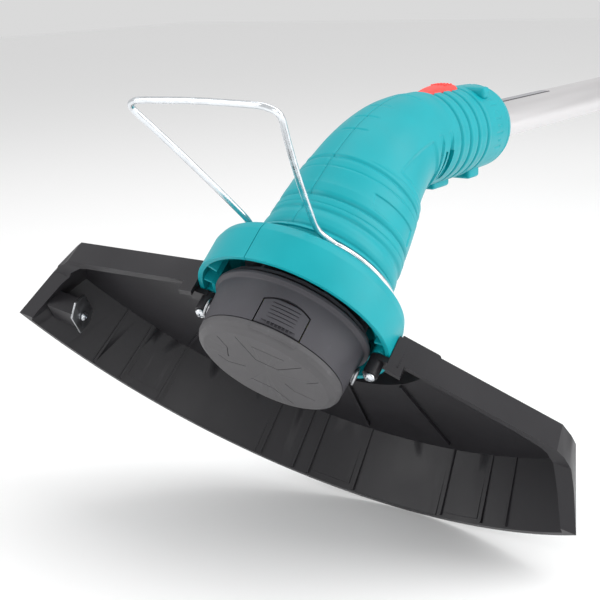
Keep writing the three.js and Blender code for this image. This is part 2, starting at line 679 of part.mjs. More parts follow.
put(shaft, 'handle_shell_right', handleRight, teal);
handleScrews.forEach(([x, z, half], i) => {
  put(shaft, `handle_screw_${i + 1}`, screw(1.5, 3.2, 2.4, half * 2 - 5), zinc, {
    turn: [-90, 0, 0], move: [x, -half - 2.5, z],
  });
});

// trigger, switch and lock-off button, in the grip's own leaning group
const grip = new THREE.Group();
grip.rotation.y = rad(-36);
grip.position.set(...gripAt);
shaft.add(grip);
const trigger = cutBy(
  slab(
    [[-15.5, -15], [-15.5, -21], [-12, -27], [0, -29.5], [12, -29], [19, -25], [21, -18],
      [19, -11.5], [13, -11.5]],
    7.5,
  ),
  alongY(disc(1.8, -20, 20, 12), [16, 0, -15]),
  disc(2.6, -20, -10, 12),
);
put(grip, 'trigger', trigger, black);
put(grip, 'trigger_pin', disc(1.5, -10.5, 10.5, 12), steel, { turn: [-90, 0, 0], move: [16, 0, -15] });
put(grip, 'trigger_spring', coil(1.9, 0.35, -19.4, -8.0, 4, 4, 6), steel);
put(grip, 'switch_body', joined(box(-14, 6, -7.5, 7.5, -7.4, 6), box(-12, 4, -4, 4, 5, 8)), black);
put(grip, 'lock_button', joined(box(-0.7, 12.7, -6, 6, 13.4, 24), box(-3, 15, -6.5, 6.5, 11.8, 14)),
  red);
put(grip, 'lock_spring', coil(2.4, 0.4, 8.6, 11.2, 2, 4, 6), steel, { move: [8.5, 0, 0] });

// battery slides off to the rear on its rail; its flat bottom is level with the guard's edge
resting.updateMatrixWorld(true);
const floorZ = new THREE.Box3().setFromObject(head, true).min.z;
const caseLoft = (inset, z0, z1, soft) => loft([
  section(-1047, z0, 180, FOOT_HALF - inset - soft, 61 - inset - soft, 20, 6),
  section(-1047, z0 + soft, 180, FOOT_HALF - inset, 61 - inset, 20, 6),
  section(-1047, z1, 180, FOOT_HALF - inset, 61 - inset, 20, 6),
]);
const packHollow = box(-1101, -1004, -31.5, 31.5, -219.5, -170);
const latchPocket = box(-1003, -980, -10.4, 10.4, -186, -171);
let batteryCase = caseLoft(0, -199, -165.4, 0.6).add(
  joined(
    box(-1104, -994, -22.2, 22.2, -167, -158.6),
    box(-1104, -994, -27.6, 27.6, -162.6, -158.6),
  ),
);
batteryCase = cutBy(batteryCase, packHollow, latchPocket);
for (const y of [-6, 6]) {
  batteryCase = batteryCase.subtract(box(-1014, -980, y - 1, y + 1, -165, -150));
}
put(shaft, 'battery_case', batteryCase, black);
const batteryBase = caseLoft(0, floorZ, -199.4, 3).subtract(packHollow);
put(shaft, 'battery_base', batteryBase, teal);
const cells = [];
for (let layer = 0; layer < 2; layer += 1) {
  for (let i = 0; i < 5; i += 1) {
    cells.push(alongY(disc(10, -31, 31, 8), [-1014.4 - i * 19, 0, -209 + layer * 19.4]));
  }
}
put(shaft, 'cell_pack', joined(...cells), cellBlue);
put(shaft, 'battery_latch', cutBy(
  joined(box(-993, -984, -10, 10, -185.6, -171.4), box(-984.5, -983, -8, 8, -184, -173)),
  box(-994, -990, -7, 7, -183, -174),
), red);
put(shaft, 'latch_spring', coil(3.2, 0.5, 0, 12.2, 3, 4, 7), steel, {
  turn: [0, -90, 0], move: [-990.4, 0, -178.5],
});
const terminals = [box(-1010, -993, -12, 12, -157.9, -152)];
for (const y of [-6, 6]) terminals.push(box(-1009, -996, y - 0.5, y + 0.5, -163, -157));
put(shaft, 'terminal_block', joined(...terminals), copper);

// stand the whole on the floor, centred
assembly.updateMatrixWorld(true);
const bounds = new THREE.Box3().setFromObject(resting, true);
resting.position.set(
  -(bounds.min.x + bounds.max.x) / 2,
  -(bounds.min.y + bounds.max.y) / 2,
  -bounds.min.z,
);
assembly.updateMatrixWorld(true);

export default assembly;
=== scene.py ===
# Cordless string trimmer at rest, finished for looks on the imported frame.
# Shapes are written in millimetres in local frames and laid into the row frame.
import bpy
import bmesh
import numpy as np
from contextlib import contextmanager
from math import sin, cos, tan, acos, atan2, radians, degrees, pi, sqrt
from mathutils import Matrix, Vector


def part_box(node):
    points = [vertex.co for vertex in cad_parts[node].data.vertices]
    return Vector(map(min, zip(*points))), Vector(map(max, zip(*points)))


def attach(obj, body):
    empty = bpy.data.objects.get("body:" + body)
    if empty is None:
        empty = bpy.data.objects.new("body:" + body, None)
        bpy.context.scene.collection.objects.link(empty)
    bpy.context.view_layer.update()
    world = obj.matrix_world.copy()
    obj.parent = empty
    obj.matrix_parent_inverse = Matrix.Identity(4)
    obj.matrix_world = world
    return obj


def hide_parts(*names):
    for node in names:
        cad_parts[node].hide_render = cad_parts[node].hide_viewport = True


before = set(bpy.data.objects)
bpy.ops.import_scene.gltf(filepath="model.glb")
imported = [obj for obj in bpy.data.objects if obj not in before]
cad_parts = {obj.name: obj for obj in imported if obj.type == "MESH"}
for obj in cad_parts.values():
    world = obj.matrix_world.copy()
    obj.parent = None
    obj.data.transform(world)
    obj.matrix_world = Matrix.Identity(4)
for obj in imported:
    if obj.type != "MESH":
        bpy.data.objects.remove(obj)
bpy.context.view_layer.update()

# ---- frames ----
low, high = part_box("lower_tube")
SHAFT_AT = np.array([high.x + 0.052, (low.y + high.y) / 2, (low.z + high.z) / 2])
TILT = radians(48.95)
NECK_HEIGHT = 0.124
HEAD_X = np.array([cos(TILT), 0, sin(TILT)])
HEAD_Z = np.array([-sin(TILT), 0, cos(TILT)])
SIDE = np.array([0.0, 1.0, 0.0])
HEAD_AT = SHAFT_AT + np.array([sin(TILT), 0, -cos(TILT)]) * NECK_HEIGHT


class Place:
    """A local frame: millimetres in, row-frame metres out."""

    def __init__(self, at, x, y, z):
        self.at = np.array(at, float)
        self.turn = np.column_stack([x, y, z])

    def out(self, points):
        return self.at + (np.asarray(points, float) * 0.001) @ self.turn.T

    def inside(self, move=(0, 0, 0), turn=None):
        t = np.eye(3) if turn is None else np.array(turn, float)
        made = Place(self.out([move])[0], *np.eye(3))
        made.turn = self.turn @ t
        return made


def about_z(angle):
    c, s = cos(radians(angle)), sin(radians(angle))
    return [[c, -s, 0], [s, c, 0], [0, 0, 1]]


def about_y(angle):
    c, s = cos(radians(angle)), sin(radians(angle))
    return [[c, 0, s], [0, 1, 0], [-s, 0, c]]


def about_x(angle):
    c, s = cos(radians(angle)), sin(radians(angle))
    return [[1, 0, 0], [0, c, -s], [0, s, c]]


HEAD = Place(HEAD_AT, HEAD_X, SIDE, HEAD_Z)
GUARD_TURN = 20.9
GUARD = HEAD.inside(turn=about_z(GUARD_TURN))
SHAFT = Place(SHAFT_AT, [1, 0, 0], SIDE, [0, 0, 1])
BACK = Place(SHAFT_AT, [0, 0, 1], SIDE, [-1, 0, 0])  # x is up, z runs back up the shaft
GRIP = SHAFT.inside(move=(-935, 0, -29), turn=about_y(-36))

# ---- camera, floor and light ----
EYE = (0.57305, 0.37271, 0.09943)  # from the shaft's origin, metres
HEADING, PITCH, ROLL = -142.585, -15.593, -2.197
LENS = 69.64


def add(name, data):
    obj = bpy.data.objects.new(name, data)
    bpy.context.scene.collection.objects.link(obj)
    return obj


def aim_axes(obj, x, y, z, at):
    """Sets an object's three axes and its origin."""
    m = Matrix.Identity(4)
    for row in range(3):
        for column, axis in enumerate((x, y, z, at)):
            m[row][column] = float(axis[row])
    obj.matrix_world = m


camera_data = bpy.data.cameras.new("camera")
camera = add("camera", camera_data)
bpy.context.scene.camera = camera
level = cos(radians(PITCH))
ahead = np.array([level * cos(radians(HEADING)), level * sin(radians(HEADING)), sin(radians(PITCH))])
across = np.array([sin(radians(HEADING)), -cos(radians(HEADING)), 0])
above = np.cross(across, ahead)
right = across * cos(radians(ROLL)) + above * sin(radians(ROLL))
aim_axes(camera, right, np.cross(right, ahead), -ahead, SHAFT_AT + np.array(EYE))
camera_data.lens = LENS
camera_data.sensor_width = 36.0
camera_data.clip_start = 0.02


def floor_material():
    m = bpy.data.materials.new("pale_floor")
    m.use_nodes = True
    tree = m.node_tree
    shader = tree.nodes["Principled BSDF"]
    noise = tree.nodes.new("ShaderNodeTexNoise")
    noise.inputs["Scale"].default_value = 3.0
    ramp = tree.nodes.new("ShaderNodeValToRGB")
    ramp.color_ramp.elements[0].color = (0.95, 0.95, 0.95, 1)
    ramp.color_ramp.elements[1].color = (0.98, 0.98, 0.98, 1)
    tree.links.new(noise.outputs["Fac"], ramp.inputs["Fac"])
    tree.links.new(ramp.outputs["Color"], shader.inputs["Base Color"])
    shader.inputs["Roughness"].default_value = 0.9
    return m


floor_mesh = bpy.data.meshes.new("floor")
floor_mesh.from_pydata([(-6, -6, 0), (6, -6, 0), (6, 6, 0), (-6, 6, 0)], [], [(0, 1, 2, 3)])
floor = add("floor", floor_mesh)
floor_mesh.materials.append(floor_material())

world = bpy.data.worlds.new("soft_room")
bpy.context.scene.world = world
world.use_nodes = True
world.node_tree.nodes["Background"].inputs["Color"].default_value = (1.0, 1.0, 1.0, 1)
world.node_tree.nodes["Background"].inputs["Strength"].default_value = 0.70
bpy.context.scene.view_settings.view_transform = "Standard"


def softbox(name, at, towards, width, height, watts):
    light = bpy.data.lights.new(name, "AREA")
    light.shape = "RECTANGLE"
    light.size = width
    light.size_y = height
    light.energy = watts
    lamp = add(name, light)
    at = np.array(at, float)
    z = at - np.array(towards, float)
    z /= np.linalg.norm(z)
    x = np.cross([0, 0, 1], z)
    x /= np.linalg.norm(x)
    aim_axes(lamp, x, np.cross(z, x), z, at)


aim = HEAD_AT + np.array([0, 0, 0.05])
softbox("side_light", aim + right * 1.1 - ahead * 0.15 + np.array([0, 0, 0.55]), aim, 0.8, 1.3, 10)
softbox("left_light", aim - right * 1.15 - ahead * 0.25 + np.array([0, 0, 0.5]), aim, 0.6, 1.2, 6.5)
softbox("front_light", aim - ahead * 1.2 + right * 0.1 + np.array([0, 0, -0.05]), aim, 0.9, 0.5, 2.2)
softbox("top_light", aim + np.array([-0.5, 0, 1.6]), aim + np.array([-0.4, 0, 0]), 2.0, 1.0, 9)

# ---- materials ----


def nodes_of(name):
    m = bpy.data.materials.new(name)
    m.use_nodes = True
    return m, m.node_tree, m.node_tree.nodes["Principled BSDF"]


def noise_node(tree, place, scale, detail=3.0, stretch=None):
    source = place.outputs["Object"]
    if stretch:
        mapping = tree.nodes.new("ShaderNodeMapping")
        mapping.inputs["Scale"].default_value = stretch
        tree.links.new(source, mapping.inputs["Vector"])
        source = mapping.outputs["Vector"]
    node = tree.nodes.new("ShaderNodeTexNoise")
    node.inputs["Scale"].default_value = scale
    node.inputs["Detail"].default_value = detail
    tree.links.new(source, node.inputs["Vector"])
    return node


def ramp_node(tree, source, first, second, start=0.3, end=0.7):
    node = tree.nodes.new("ShaderNodeValToRGB")
    node.color_ramp.elements[0].position = start
    node.color_ramp.elements[1].position = end
    node.color_ramp.elements[0].color = first
    node.color_ramp.elements[1].color = second
    tree.links.new(source, node.inputs["Fac"])
    return node


def grey(value):
    return (value, value, value, 1)


def scaled(colour, k):
    return tuple(min(1.0, c * k) for c in colour) + (1,)


def moulded(name, colour, rough, vary=0.08, grain=1500, bump=0.12, coarse=45, rough_vary=0.06,
            metallic=0.0, stretch=None, scuff=0.0):
    """Moulded plastic or metal: mottled colour, uneven gloss, fine grain and a slow waviness."""
    m, tree, shader = nodes_of(name)
    place = tree.nodes.new("ShaderNodeTexCoord")
    slow = noise_node(tree, place, coarse, 4.0, stretch)
    tone = ramp_node(tree, slow.outputs["Fac"], scaled(colour, 1 - vary), scaled(colour, 1 + vary))
    colour_out = tone.outputs["Color"]
    if scuff:
        marks = noise_node(tree, place, coarse * 4, 8.0, (1.0, 3.5, 1.0))
        where = ramp_node(tree, marks.outputs["Fac"], grey(0), grey(scuff), 0.62, 0.78)
        mix = tree.nodes.new("ShaderNodeMixRGB")
        mix.inputs["Color2"].default_value = scaled(colour, 1.9)
        tree.links.new(where.outputs["Color"], mix.inputs["Fac"])
        tree.links.new(colour_out, mix.inputs["Color1"])
        colour_out = mix.outputs["Color"]
    tree.links.new(colour_out, shader.inputs["Base Color"])
    gloss = ramp_node(tree, slow.outputs["Fac"], grey(rough - rough_vary), grey(rough + rough_vary),
                      0.35, 0.65)
    tree.links.new(gloss.outputs["Color"], shader.inputs["Roughness"])
    fine = noise_node(tree, place, grain, 2.0, stretch)
    relief = tree.nodes.new("ShaderNodeBump")
    relief.inputs["Strength"].default_value = bump
    relief.inputs["Distance"].default_value = 0.0002
    tree.links.new(fine.outputs["Fac"], relief.inputs["Height"])
    tree.links.new(relief.outputs["Normal"], shader.inputs["Normal"])
    shader.inputs["Metallic"].default_value = metallic
    shader.inputs["Specular IOR Level"].default_value = 0.32
    return m


def linear(r, g, b):
    def one(v):
        v /= 255
        return v / 12.92 if v <= 0.04045 else ((v + 0.055) / 1.055) ** 2.4
    return (one(r), one(g), one(b))


TEAL = moulded("teal_plastic", linear(0, 156, 166), 0.42, vary=0.04, bump=0.16, grain=1700)
BLACK = moulded("black_plastic", linear(70, 69, 74), 0.52, vary=0.10, bump=0.30, grain=1300,
                scuff=0.12)
SATIN = moulded("guard_plastic", linear(40, 39, 42), 0.40, vary=0.10, bump=0.16, grain=1100,
                coarse=22, scuff=0.10)
# drum cap: the drum's black plastic painted lighter grey, painted light for its face turned down and
# forward to the front lamp and the floor; its lighter scuffs are wear
CAP_BLACK_PAINTED_LIGHT = moulded("cap_black_painted_light", linear(84, 83, 85), 0.56, vary=0.12, bump=0.30, grain=1500,
                  scuff=0.35)
RUBBER = moulded("soft_rubber", linear(40, 40, 43), 0.74, vary=0.12, bump=0.55, grain=900)
RED = moulded("red_plastic", linear(250, 78, 72), 0.42, vary=0.05, bump=0.18, grain=1500)
ALLOY = moulded("drawn_alloy", linear(214, 212, 213), 0.33, vary=0.05, bump=0.16, grain=500,
                coarse=60, metallic=0.85, stretch=(0.04, 1.0, 1.0), rough_vary=0.08)
ZINC = moulded("bright_zinc", linear(222, 226, 230), 0.22, vary=0.10, bump=0.10, grain=900,
               coarse=160, metallic=1.0, rough_vary=0.08)
STEEL = moulded("bare_steel", linear(176, 178, 181), 0.34, vary=0.12, bump=0.20, grain=700,
                coarse=120, metallic=1.0, stretch=(1.0, 0.1, 1.0))
BRASS = moulded("contact_brass", linear(202, 150, 86), 0.32, vary=0.10, bump=0.10, grain=900,
                metallic=1.0)
NYLON = moulded("line_nylon", linear(226, 232, 92), 0.35, vary=0.10, bump=0.25, grain=700)
WRAP = moulded("cell_wrap", linear(64, 108, 168), 0.45, vary=0.10, bump=0.10, grain=900)
LABEL = moulded("plain_label", linear(150, 150, 154), 0.46, vary=0.05, bump=0.08, grain=1200)
LABEL_DARK = moulded("plain_label_dark", linear(58, 58, 62), 0.46, vary=0.06, bump=0.08, grain=1200)

# ---- mesh code ----


def mesh_object(name, verts, faces):
    mesh = bpy.data.meshes.new(name)
    mesh.from_pydata([tuple(map(float, v)) for v in verts], [], [tuple(f) for f in faces])
    return add(name, mesh)


@contextmanager
def opened(obj):
    """The object's mesh as a bmesh, written back at the end."""
    work = bmesh.new()
    work.from_mesh(obj.data)
    yield work
    work.to_mesh(obj.data)
    work.free()


def drop(obj):
    old = obj.data
    bpy.data.objects.remove(obj)
    bpy.data.meshes.remove(old)


def cleaned(obj, merge=1e-3):
    with opened(obj) as work:
        bmesh.ops.remove_doubles(work, verts=work.verts, dist=merge)
        bmesh.ops.dissolve_degenerate(work, edges=work.edges, dist=merge * 0.5)
        bmesh.ops.recalc_face_normals(work, faces=work.faces)
    return obj


def applied(obj):
    graph = bpy.context.evaluated_depsgraph_get()
    mesh = bpy.data.meshes.new_from_object(obj.evaluated_get(graph))
    obj.modifiers.clear()
    old = obj.data
    obj.data = mesh
    bpy.data.meshes.remove(old)
    return obj


def combine(kind, body, tools):
    for tool in tools:
        step = body.modifiers.new("combine", "BOOLEAN")
        step.operation = kind
        step.solver = "MANIFOLD"
        step.object = tool
        applied(body)
        drop(tool)
    return body


def cut(body, *tools):
    return combine("DIFFERENCE", body, tools)


def join(body, *tools):
    return combine("UNION", body, tools)


def keep(body, *tools):
    return combine("INTERSECT", body, tools)


def copy_of(obj):
    return add(obj.name + "_tool", obj.data.copy())


def beside(*objs):
    """Several bodies that only touch or lie apart, kept as one mesh."""
    work = bmesh.new()
    for obj in objs:
        work.from_mesh(obj.data)
    work.to_mesh(objs[0].data)
    work.free()
    for obj in objs[1:]:
        drop(obj)
    return objs[0]


def moved(obj, move=(0, 0, 0), turn=None):
    points = np.array([v.co for v in obj.data.vertices], float)
    if turn is not None:
        points = points @ np.array(turn, float).T
    points = points + np.array(move, float)
    obj.data.vertices.foreach_set("co", points.astype(np.float32).ravel())
    obj.data.update()
    return obj


def along_y(obj, at=(0, 0, 0)):
    """Turns a body made along Z to lie along Y, then moves it."""
    return moved(obj, at, about_x(-90))


def fillet(points, radius=0.8, steps=3):
    """Closed outline with each corner rounded; a third number on a point is its own radius."""
    made = []
    count = len(points)
    for i, point in enumerate(points):
        own = point[2] if len(point) > 2 else radius
        a = np.array(points[i - 1][:2], float)
        b = np.array(point[:2], float)
        c = np.array(points[(i + 1) % count][:2], float)
        u, v = a - b, c - b
        lu, lv = np.linalg.norm(u), np.linalg.norm(v)
        if own <= 0 or lu < 1e-6 or lv < 1e-6:
            made.append(b)
            continue
        u, v = u / lu, v / lv
        corner = acos(max(-1.0, min(1.0, float(u @ v))))
        if corner > radians(176):
            made.append(b)
            continue
        back = min(own / tan(corner / 2), 0.45 * lu, 0.45 * lv)
        for k in range(steps + 1):
            t = k / steps
            made.append((1 - t) ** 2 * (b + u * back) + 2 * t * (1 - t) * b + t * t * (b + v * back))
    return [(float(p[0]), float(p[1])) for p in made]


def lathe(profile, segments=96, start=0.0, span=360.0):
    """Closed [radius, z] outline turned about Z, all round or through part of a turn."""
    full = span >= 359.9
    columns = segments if full else segments + 1
    count = len(profile)
    verts = []
    for k in range(columns):
        a = radians(start + span * k / segments)
        for r, z in profile:
            verts.append((r * cos(a), r * sin(a), z))
    faces = []
    for k in range(segments):
        n = (k + 1) % columns
        for i in range(count):
            j = (i + 1) % count
            faces.append((k * count + i, n * count + i, n * count + j, k * count + j))
    if not full:
        faces.append(tuple(range(count)))
        faces.append(tuple(reversed(range((columns - 1) * count, columns * count))))
    return cleaned(mesh_object("turned", verts, faces))


def disc(r, z0, z1, segments=48, soft=0.0):
    return lathe(fillet([(0, z0, 0), (r, z0, soft), (r, z1, soft), (0, z1, 0)], soft), segments)


def loft(rings):
    """Closed body through rings of equally many points."""
    rings = np.asarray(rings, float)
    rows, count, _ = rings.shape
    verts = rings.reshape(-1, 3)
    faces = []
    for k in range(rows - 1):
        for i in range(count):
            j = (i + 1) % count
            faces.append((k * count + i, k * count + j, (k + 1) * count + j, (k + 1) * count + i))
    faces.append(tuple(reversed(range(count))))
    faces.append(tuple(range((rows - 1) * count, rows * count)))
    return cleaned(mesh_object("lofted", verts, faces))


def block(x0, x1, y0, y1, z0, z1, soft=0.0, steps=3):
    work = bmesh.new()
    bmesh.ops.create_cube(work, size=1.0)
    for v in work.verts:
        v.co.x = x0 + (v.co.x + 0.5) * (x1 - x0)
        v.co.y = y0 + (v.co.y + 0.5) * (y1 - y0)
        v.co.z = z0 + (v.co.z + 0.5) * (z1 - z0)
    if soft > 0:
        bmesh.ops.bevel(work, geom=work.edges[:], offset=soft, segments=steps, profile=0.5,
                        affect="EDGES")
    mesh = bpy.data.meshes.new("block")
    work.to_mesh(mesh)
    work.free()
    return add("block", mesh)


def slab(outline, y0, y1):
    """Outline of (x, z) points given a thickness along Y."""
    count = len(outline)
    verts = [(p[0], y0, p[1]) for p in outline] + [(p[0], y1, p[1]) for p in outline]
    faces = [tuple(range(count)), tuple(reversed(range(count, 2 * count)))]
    for i in range(count):
        j = (i + 1) % count
        faces.append((i, i + count, j + count, j))
    return cleaned(mesh_object("slab", verts, faces))


def smooth_line(points, per=8):
    """Points on a smooth curve through the given ones."""
    p = np.array(points, float)
    count = len(p)
    made = []
    for i in range(count - 1):
        a, b, c = p[max(i - 1, 0)], p[i], p[i + 1]
        d = p[min(i + 2, count - 1)]
        for k in range(per):
            t = k / per
            made.append(0.5 * (2 * b + (c - a) * t + (2 * a - 5 * b + 4 * c - d) * t * t
                               + (3 * b - a - 3 * c + d) * t ** 3))
    made.append(p[-1])
    return np.array(made)


def sweep(points, radius, sides=16):
    """Round rod along points, its outline carried without twist."""
    p = np.array(points, float)
    count = len(p)
    tangents = np.gradient(p, axis=0)
    tangents /= np.linalg.norm(tangents, axis=1)[:, None]
    normal = np.cross(tangents[0], [0, 0, 1.0])
    if np.linalg.norm(normal) < 1e-3:
        normal = np.cross(tangents[0], [0, 1.0, 0])
    verts = []
    for k in range(count):
        normal = normal - tangents[k] * (normal @ tangents[k])
        normal /= np.linalg.norm(normal)
        other = np.cross(tangents[k], normal)
        r = radius[k] if hasattr(radius, "__len__") else radius
        for i in range(sides):
            a = 2 * pi * i / sides
            verts.append(p[k] + r * (normal * cos(a) + other * sin(a)))
    faces = []
    for k in range(count - 1):
        for i in range(sides):
            j = (i + 1) % sides
            faces.append((k * sides + i, k * sides + j, (k + 1) * sides + j, (k + 1) * sides + i))
    faces.append(tuple(reversed(range(sides))))
    faces.append(tuple(range((count - 1) * sides, count * sides)))
    obj = mesh_object("rod", verts, faces)
    with opened(obj) as work:
        bmesh.ops.recalc_face_normals(work, faces=work.faces)
    return obj


def ground_edges(obj, width, steps=2, angle=32):
    """Small rounds on the sharp edges."""
    step = obj.modifiers.new("edges", "BEVEL")
    step.width = width
    step.segments = steps
    step.limit_method = "ANGLE"
    step.angle_limit = radians(angle)
    step.use_clamp_overlap = True
    step.miter_outer = "MITER_ARC"
    return applied(obj)


def finish(obj, name, body, material, nodes=(), place=HEAD, sharp=42, weighted=False):
    """Lays a piece into the row frame, shades it, and ties it to its body."""
    obj.name = name
    obj.data.name = name
    points = np.empty(len(obj.data.vertices) * 3, np.float32)
    obj.data.vertices.foreach_get("co", points)
    laid = place.out(points.reshape(-1, 3))
    obj.data.vertices.foreach_set("co", laid.astype(np.float32).ravel())
    with opened(obj) as work:
        for face in work.faces:
            face.smooth = True
        for edge in work.edges:
            edge.smooth = len(edge.link_faces) == 2 and edge.calc_face_angle(0.0) < radians(sharp)
    obj.data.materials.clear()
    obj.data.materials.append(material)
    if weighted:
        step = obj.modifiers.new("shading", "WEIGHTED_NORMAL")
        step.keep_sharp = True
    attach(obj, body)
    if nodes:
        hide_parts(*nodes)
    return obj


def soft_step(x, a, b):
    t = np.clip((np.asarray(x, float) - a) / (b - a), 0, 1)
    return t * t * (3 - 2 * t)


def dip(x, at, half):
    return np.exp(-(((np.asarray(x, float) - at) / half) ** 2))


# ---- neck and collar ----
LEAN = radians(90) - TILT
NECK_END = 204.5  # last station along the neck's line
SLEEVE_END = 111.7  # the sleeve's end, measured up the shaft
BUTTON_AT = 44
SEAM = 0.12  # half the gap between the two halves


def on_shaft(s, off=0.0):
    return (-s * cos(TILT) + off * cos(LEAN), 124 + s * sin(TILT) + off * sin(LEAN))


# centre x, z, lean in degrees and radius
neck_line = [(-2.5, 28, 0, 43.2), (-2.5, 34, 0, 43.2), (-2.5, 37, 0, 41.4), (-2.5, 50, 0, 40.4),
             (-2, 68, 0, 38.8), (-1.5, 88, 2, 36.7), (-2.5, 106, 8, 33.9), (-7, 125, 20, 31.2),
             (-14.5, 140, 32, 29.4)]
for s, r in [(38, 28.5), (58, 28.4), (60, 28.4), (100, 27.6), (102, 27.5), (SLEEVE_END, 27.3)]:
    neck_line.append((*on_shaft(s), degrees(LEAN), r))
line_at = np.array([(x, z) for x, z, _, _ in neck_line])
line_r = np.array([r for *_, r in neck_line])
line_lean = np.radians([lean for _, _, lean, _ in neck_line])
line_dir = np.column_stack([-np.sin(line_lean), np.cos(line_lean)])
line_t = np.concatenate([[0], np.cumsum(np.linalg.norm(np.diff(line_at, axis=0), axis=1))])


def neck_centre(t):
    k = int(min(max(np.searchsorted(line_t, t, side="right") - 1, 0), len(line_t) - 2))
    h = line_t[k + 1] - line_t[k]
    u = (t - line_t[k]) / h
    p0, p1 = line_at[k], line_at[k + 1]
    d0, d1 = line_dir[k] * h, line_dir[k + 1] * h
    p = ((2 * u ** 3 - 3 * u * u + 1) * p0 + (u ** 3 - 2 * u * u + u) * d0
         + (3 * u * u - 2 * u ** 3) * p1 + (u ** 3 - u * u) * d1)
    q = ((6 * u * u - 6 * u) * p0 + (3 * u * u - 4 * u + 1) * d0
         + (6 * u - 6 * u * u) * p1 + (3 * u * u - 2 * u) * d1) / h
    return p, q / np.linalg.norm(q)


def neck_skin(t, theta):
    """Outside radius at station t (mm up the neck) and angle from the outer bend."""
    th = np.abs(theta)
    r = np.interp(t, line_t, line_r)
    r = r + np.zeros_like(th)
    # lip over the wire's groove, then the stepped bands
    r = r + 2.0 * (soft_step(t, 5.9, 6.3) - soft_step(t, 8.0, 9.6))
    r = r - 0.8 * dip(t, 10.4, 0.7) + 0.55 * soft_step(t, 11, 14) * (1 - soft_step(t, 17, 21))
    r = r - 0.5 * dip(t, 22.0, 1.6) - 0.35 * dip(t, 27.5, 0.45)
    r = r - 1.0 * dip(t, 33.0, 0.85) + 0.5 * soft_step(t, 22, 25) * (1 - soft_step(t, 32, 33))
    r = r - 0.30 * dip(t, 53.6, 0.45) - 0.95 * dip(t, 59.0, 0.9)
    r = r + 0.45 * soft_step(t, 34, 36) * (1 - soft_step(t, 58, 59))
    r = r + 0.30 * dip(t, 63.2, 0.7) * soft_step(th, 30, 45)
    for at in (79.0, 89.5, 100.0):
        r = r - 0.45 * dip(t, at, 0.6) * (1 - soft_step(th, 13, 17))
    r = r - 0.5 * dip(t, 117.0, 0.7) * (1 - soft_step(th, 24, 29))
    # ribbed sleeve: four grooves with a raised leading edge, then the end ring
    for at in (137.0, 148.0, 158.8, 171.0):
        r = r - 1.25 * dip(t, at, 0.95) + 0.35 * dip(t, at + 2.2, 1.4)
        r = r + 0.45 * dip(t, at - 4.6, 3.4)
    r = r - 0.5 * dip(t, 200.0, 0.5) - 1.0 * soft_step(t, 200.4, 204.0)
    # scoop on the inner bend
    edge = 61 + (t - 67) * 0.36
    scoop = soft_step(t, 67, 69.5) * (1 - soft_step(t, 102.5, 105.5)) * soft_step(th, edge, edge + 5)
    r = r - 1.3 * scoop
    # shallow lead-in above each vent
    for at, drift in ((113.0, 0.24), (124.5, 0.06)):
        middle = at - drift * np.clip(th - 88, 0, 60)
        vent = (1 - soft_step(np.abs(t - middle), 1.5, 2.4)) * soft_step(th, 74, 77)
        vent = vent * (1 - soft_step(th, 138, 141))
        r = r - vent * (0.6 + 1.3 * soft_step(th, 78, 100))
    # plain recessed panel
    panel = soft_step(t, 36.6, 37.2) * (1 - soft_step(t, 46.4, 47.0))
    left = 49 + (47 - t) * 0.25
    panel = panel * soft_step(th, left, left + 1.2) * (1 - soft_step(th, left + 54, left + 55.2))
    r = r - 0.75 * panel
    # small divisions on the end band
    for k in range(9):
        at = 36 + k * 9.5
        deep = 0.4 * (1 - soft_step(np.abs(th - at), 0.9, 1.5))
        reach = 4.2 if k % 2 == 0 else 2.4
        r = r - deep * (1 - soft_step(np.abs(t - 187.5), reach - 0.5, reach))
    return r


def station_list(end):
    stations = [0.0]
    fine = [6, 8, 10.4, 22, 27.5, 33, 36.8, 46.7, 53.6, 59, 63.2, 79, 89.5, 100, 117, 137, 148,
            158.8, 171, 183, 192, 200.2]
    while stations[-1] < end:
        t = stations[-1]
        near = min(abs(t - f) for f in fine)
        step = 0.28 if near < 2.2 else 0.8
        if 36 < t < 47.5 or 104 < t < 132:
            step = min(step, 0.45)
        stations.append(t + step)
    stations[-1] = end
    return stations


def neck_half(sign):
    """One moulded half of the neck: a C-shaped wall lofted from the collar to the end ring."""
    columns = 170
    rings = []
    for t in station_list(NECK_END):
        p, q = neck_centre(t)
        outward = np.array([q[1], 0, -q[0]])
        theta = np.linspace(0, 180, columns)
        r = neck_skin(t, theta)
        seam = np.minimum(theta, 180 - theta)
        r = r - 0.35 * (1 - soft_step(seam, 0.5, 1.8))
        a = np.radians(theta)
        flat = np.column_stack([r * np.cos(a), r * np.sin(a)])
        flat[:, 1] = np.maximum(flat[:, 1], 0.09)
        inner_r = float(np.interp(t, line_t, line_r)) - 4.0
        b = np.radians(np.linspace(180, 0, columns))
        inner = np.column_stack([inner_r * np.cos(b), np.maximum(inner_r * np.sin(b), 0.09)])
        flat = np.vstack([flat, inner])
        ring = np.array([p[0], 0, p[1]]) + flat[:, :1] * outward
        ring = ring + flat[:, 1:] * np.array([0, sign, 0])
        rings.append(ring)
    return loft(rings)


def to_shaft(obj, s, turn=None):
    """A body made along Z laid on the shaft's line in the head frame, x away from the axis."""
    x, z = on_shaft(s)
    if turn is not None:
        moved(obj, turn=turn)
    return moved(obj, (x, 0, z), about_y(-degrees(LEAN)))


BOSS_RING = 51.5
BOSS_SPREAD = 84
BOSS_AT = [180 + GUARD_TURN + BOSS_SPREAD, 180 + GUARD_TURN - BOSS_SPREAD]


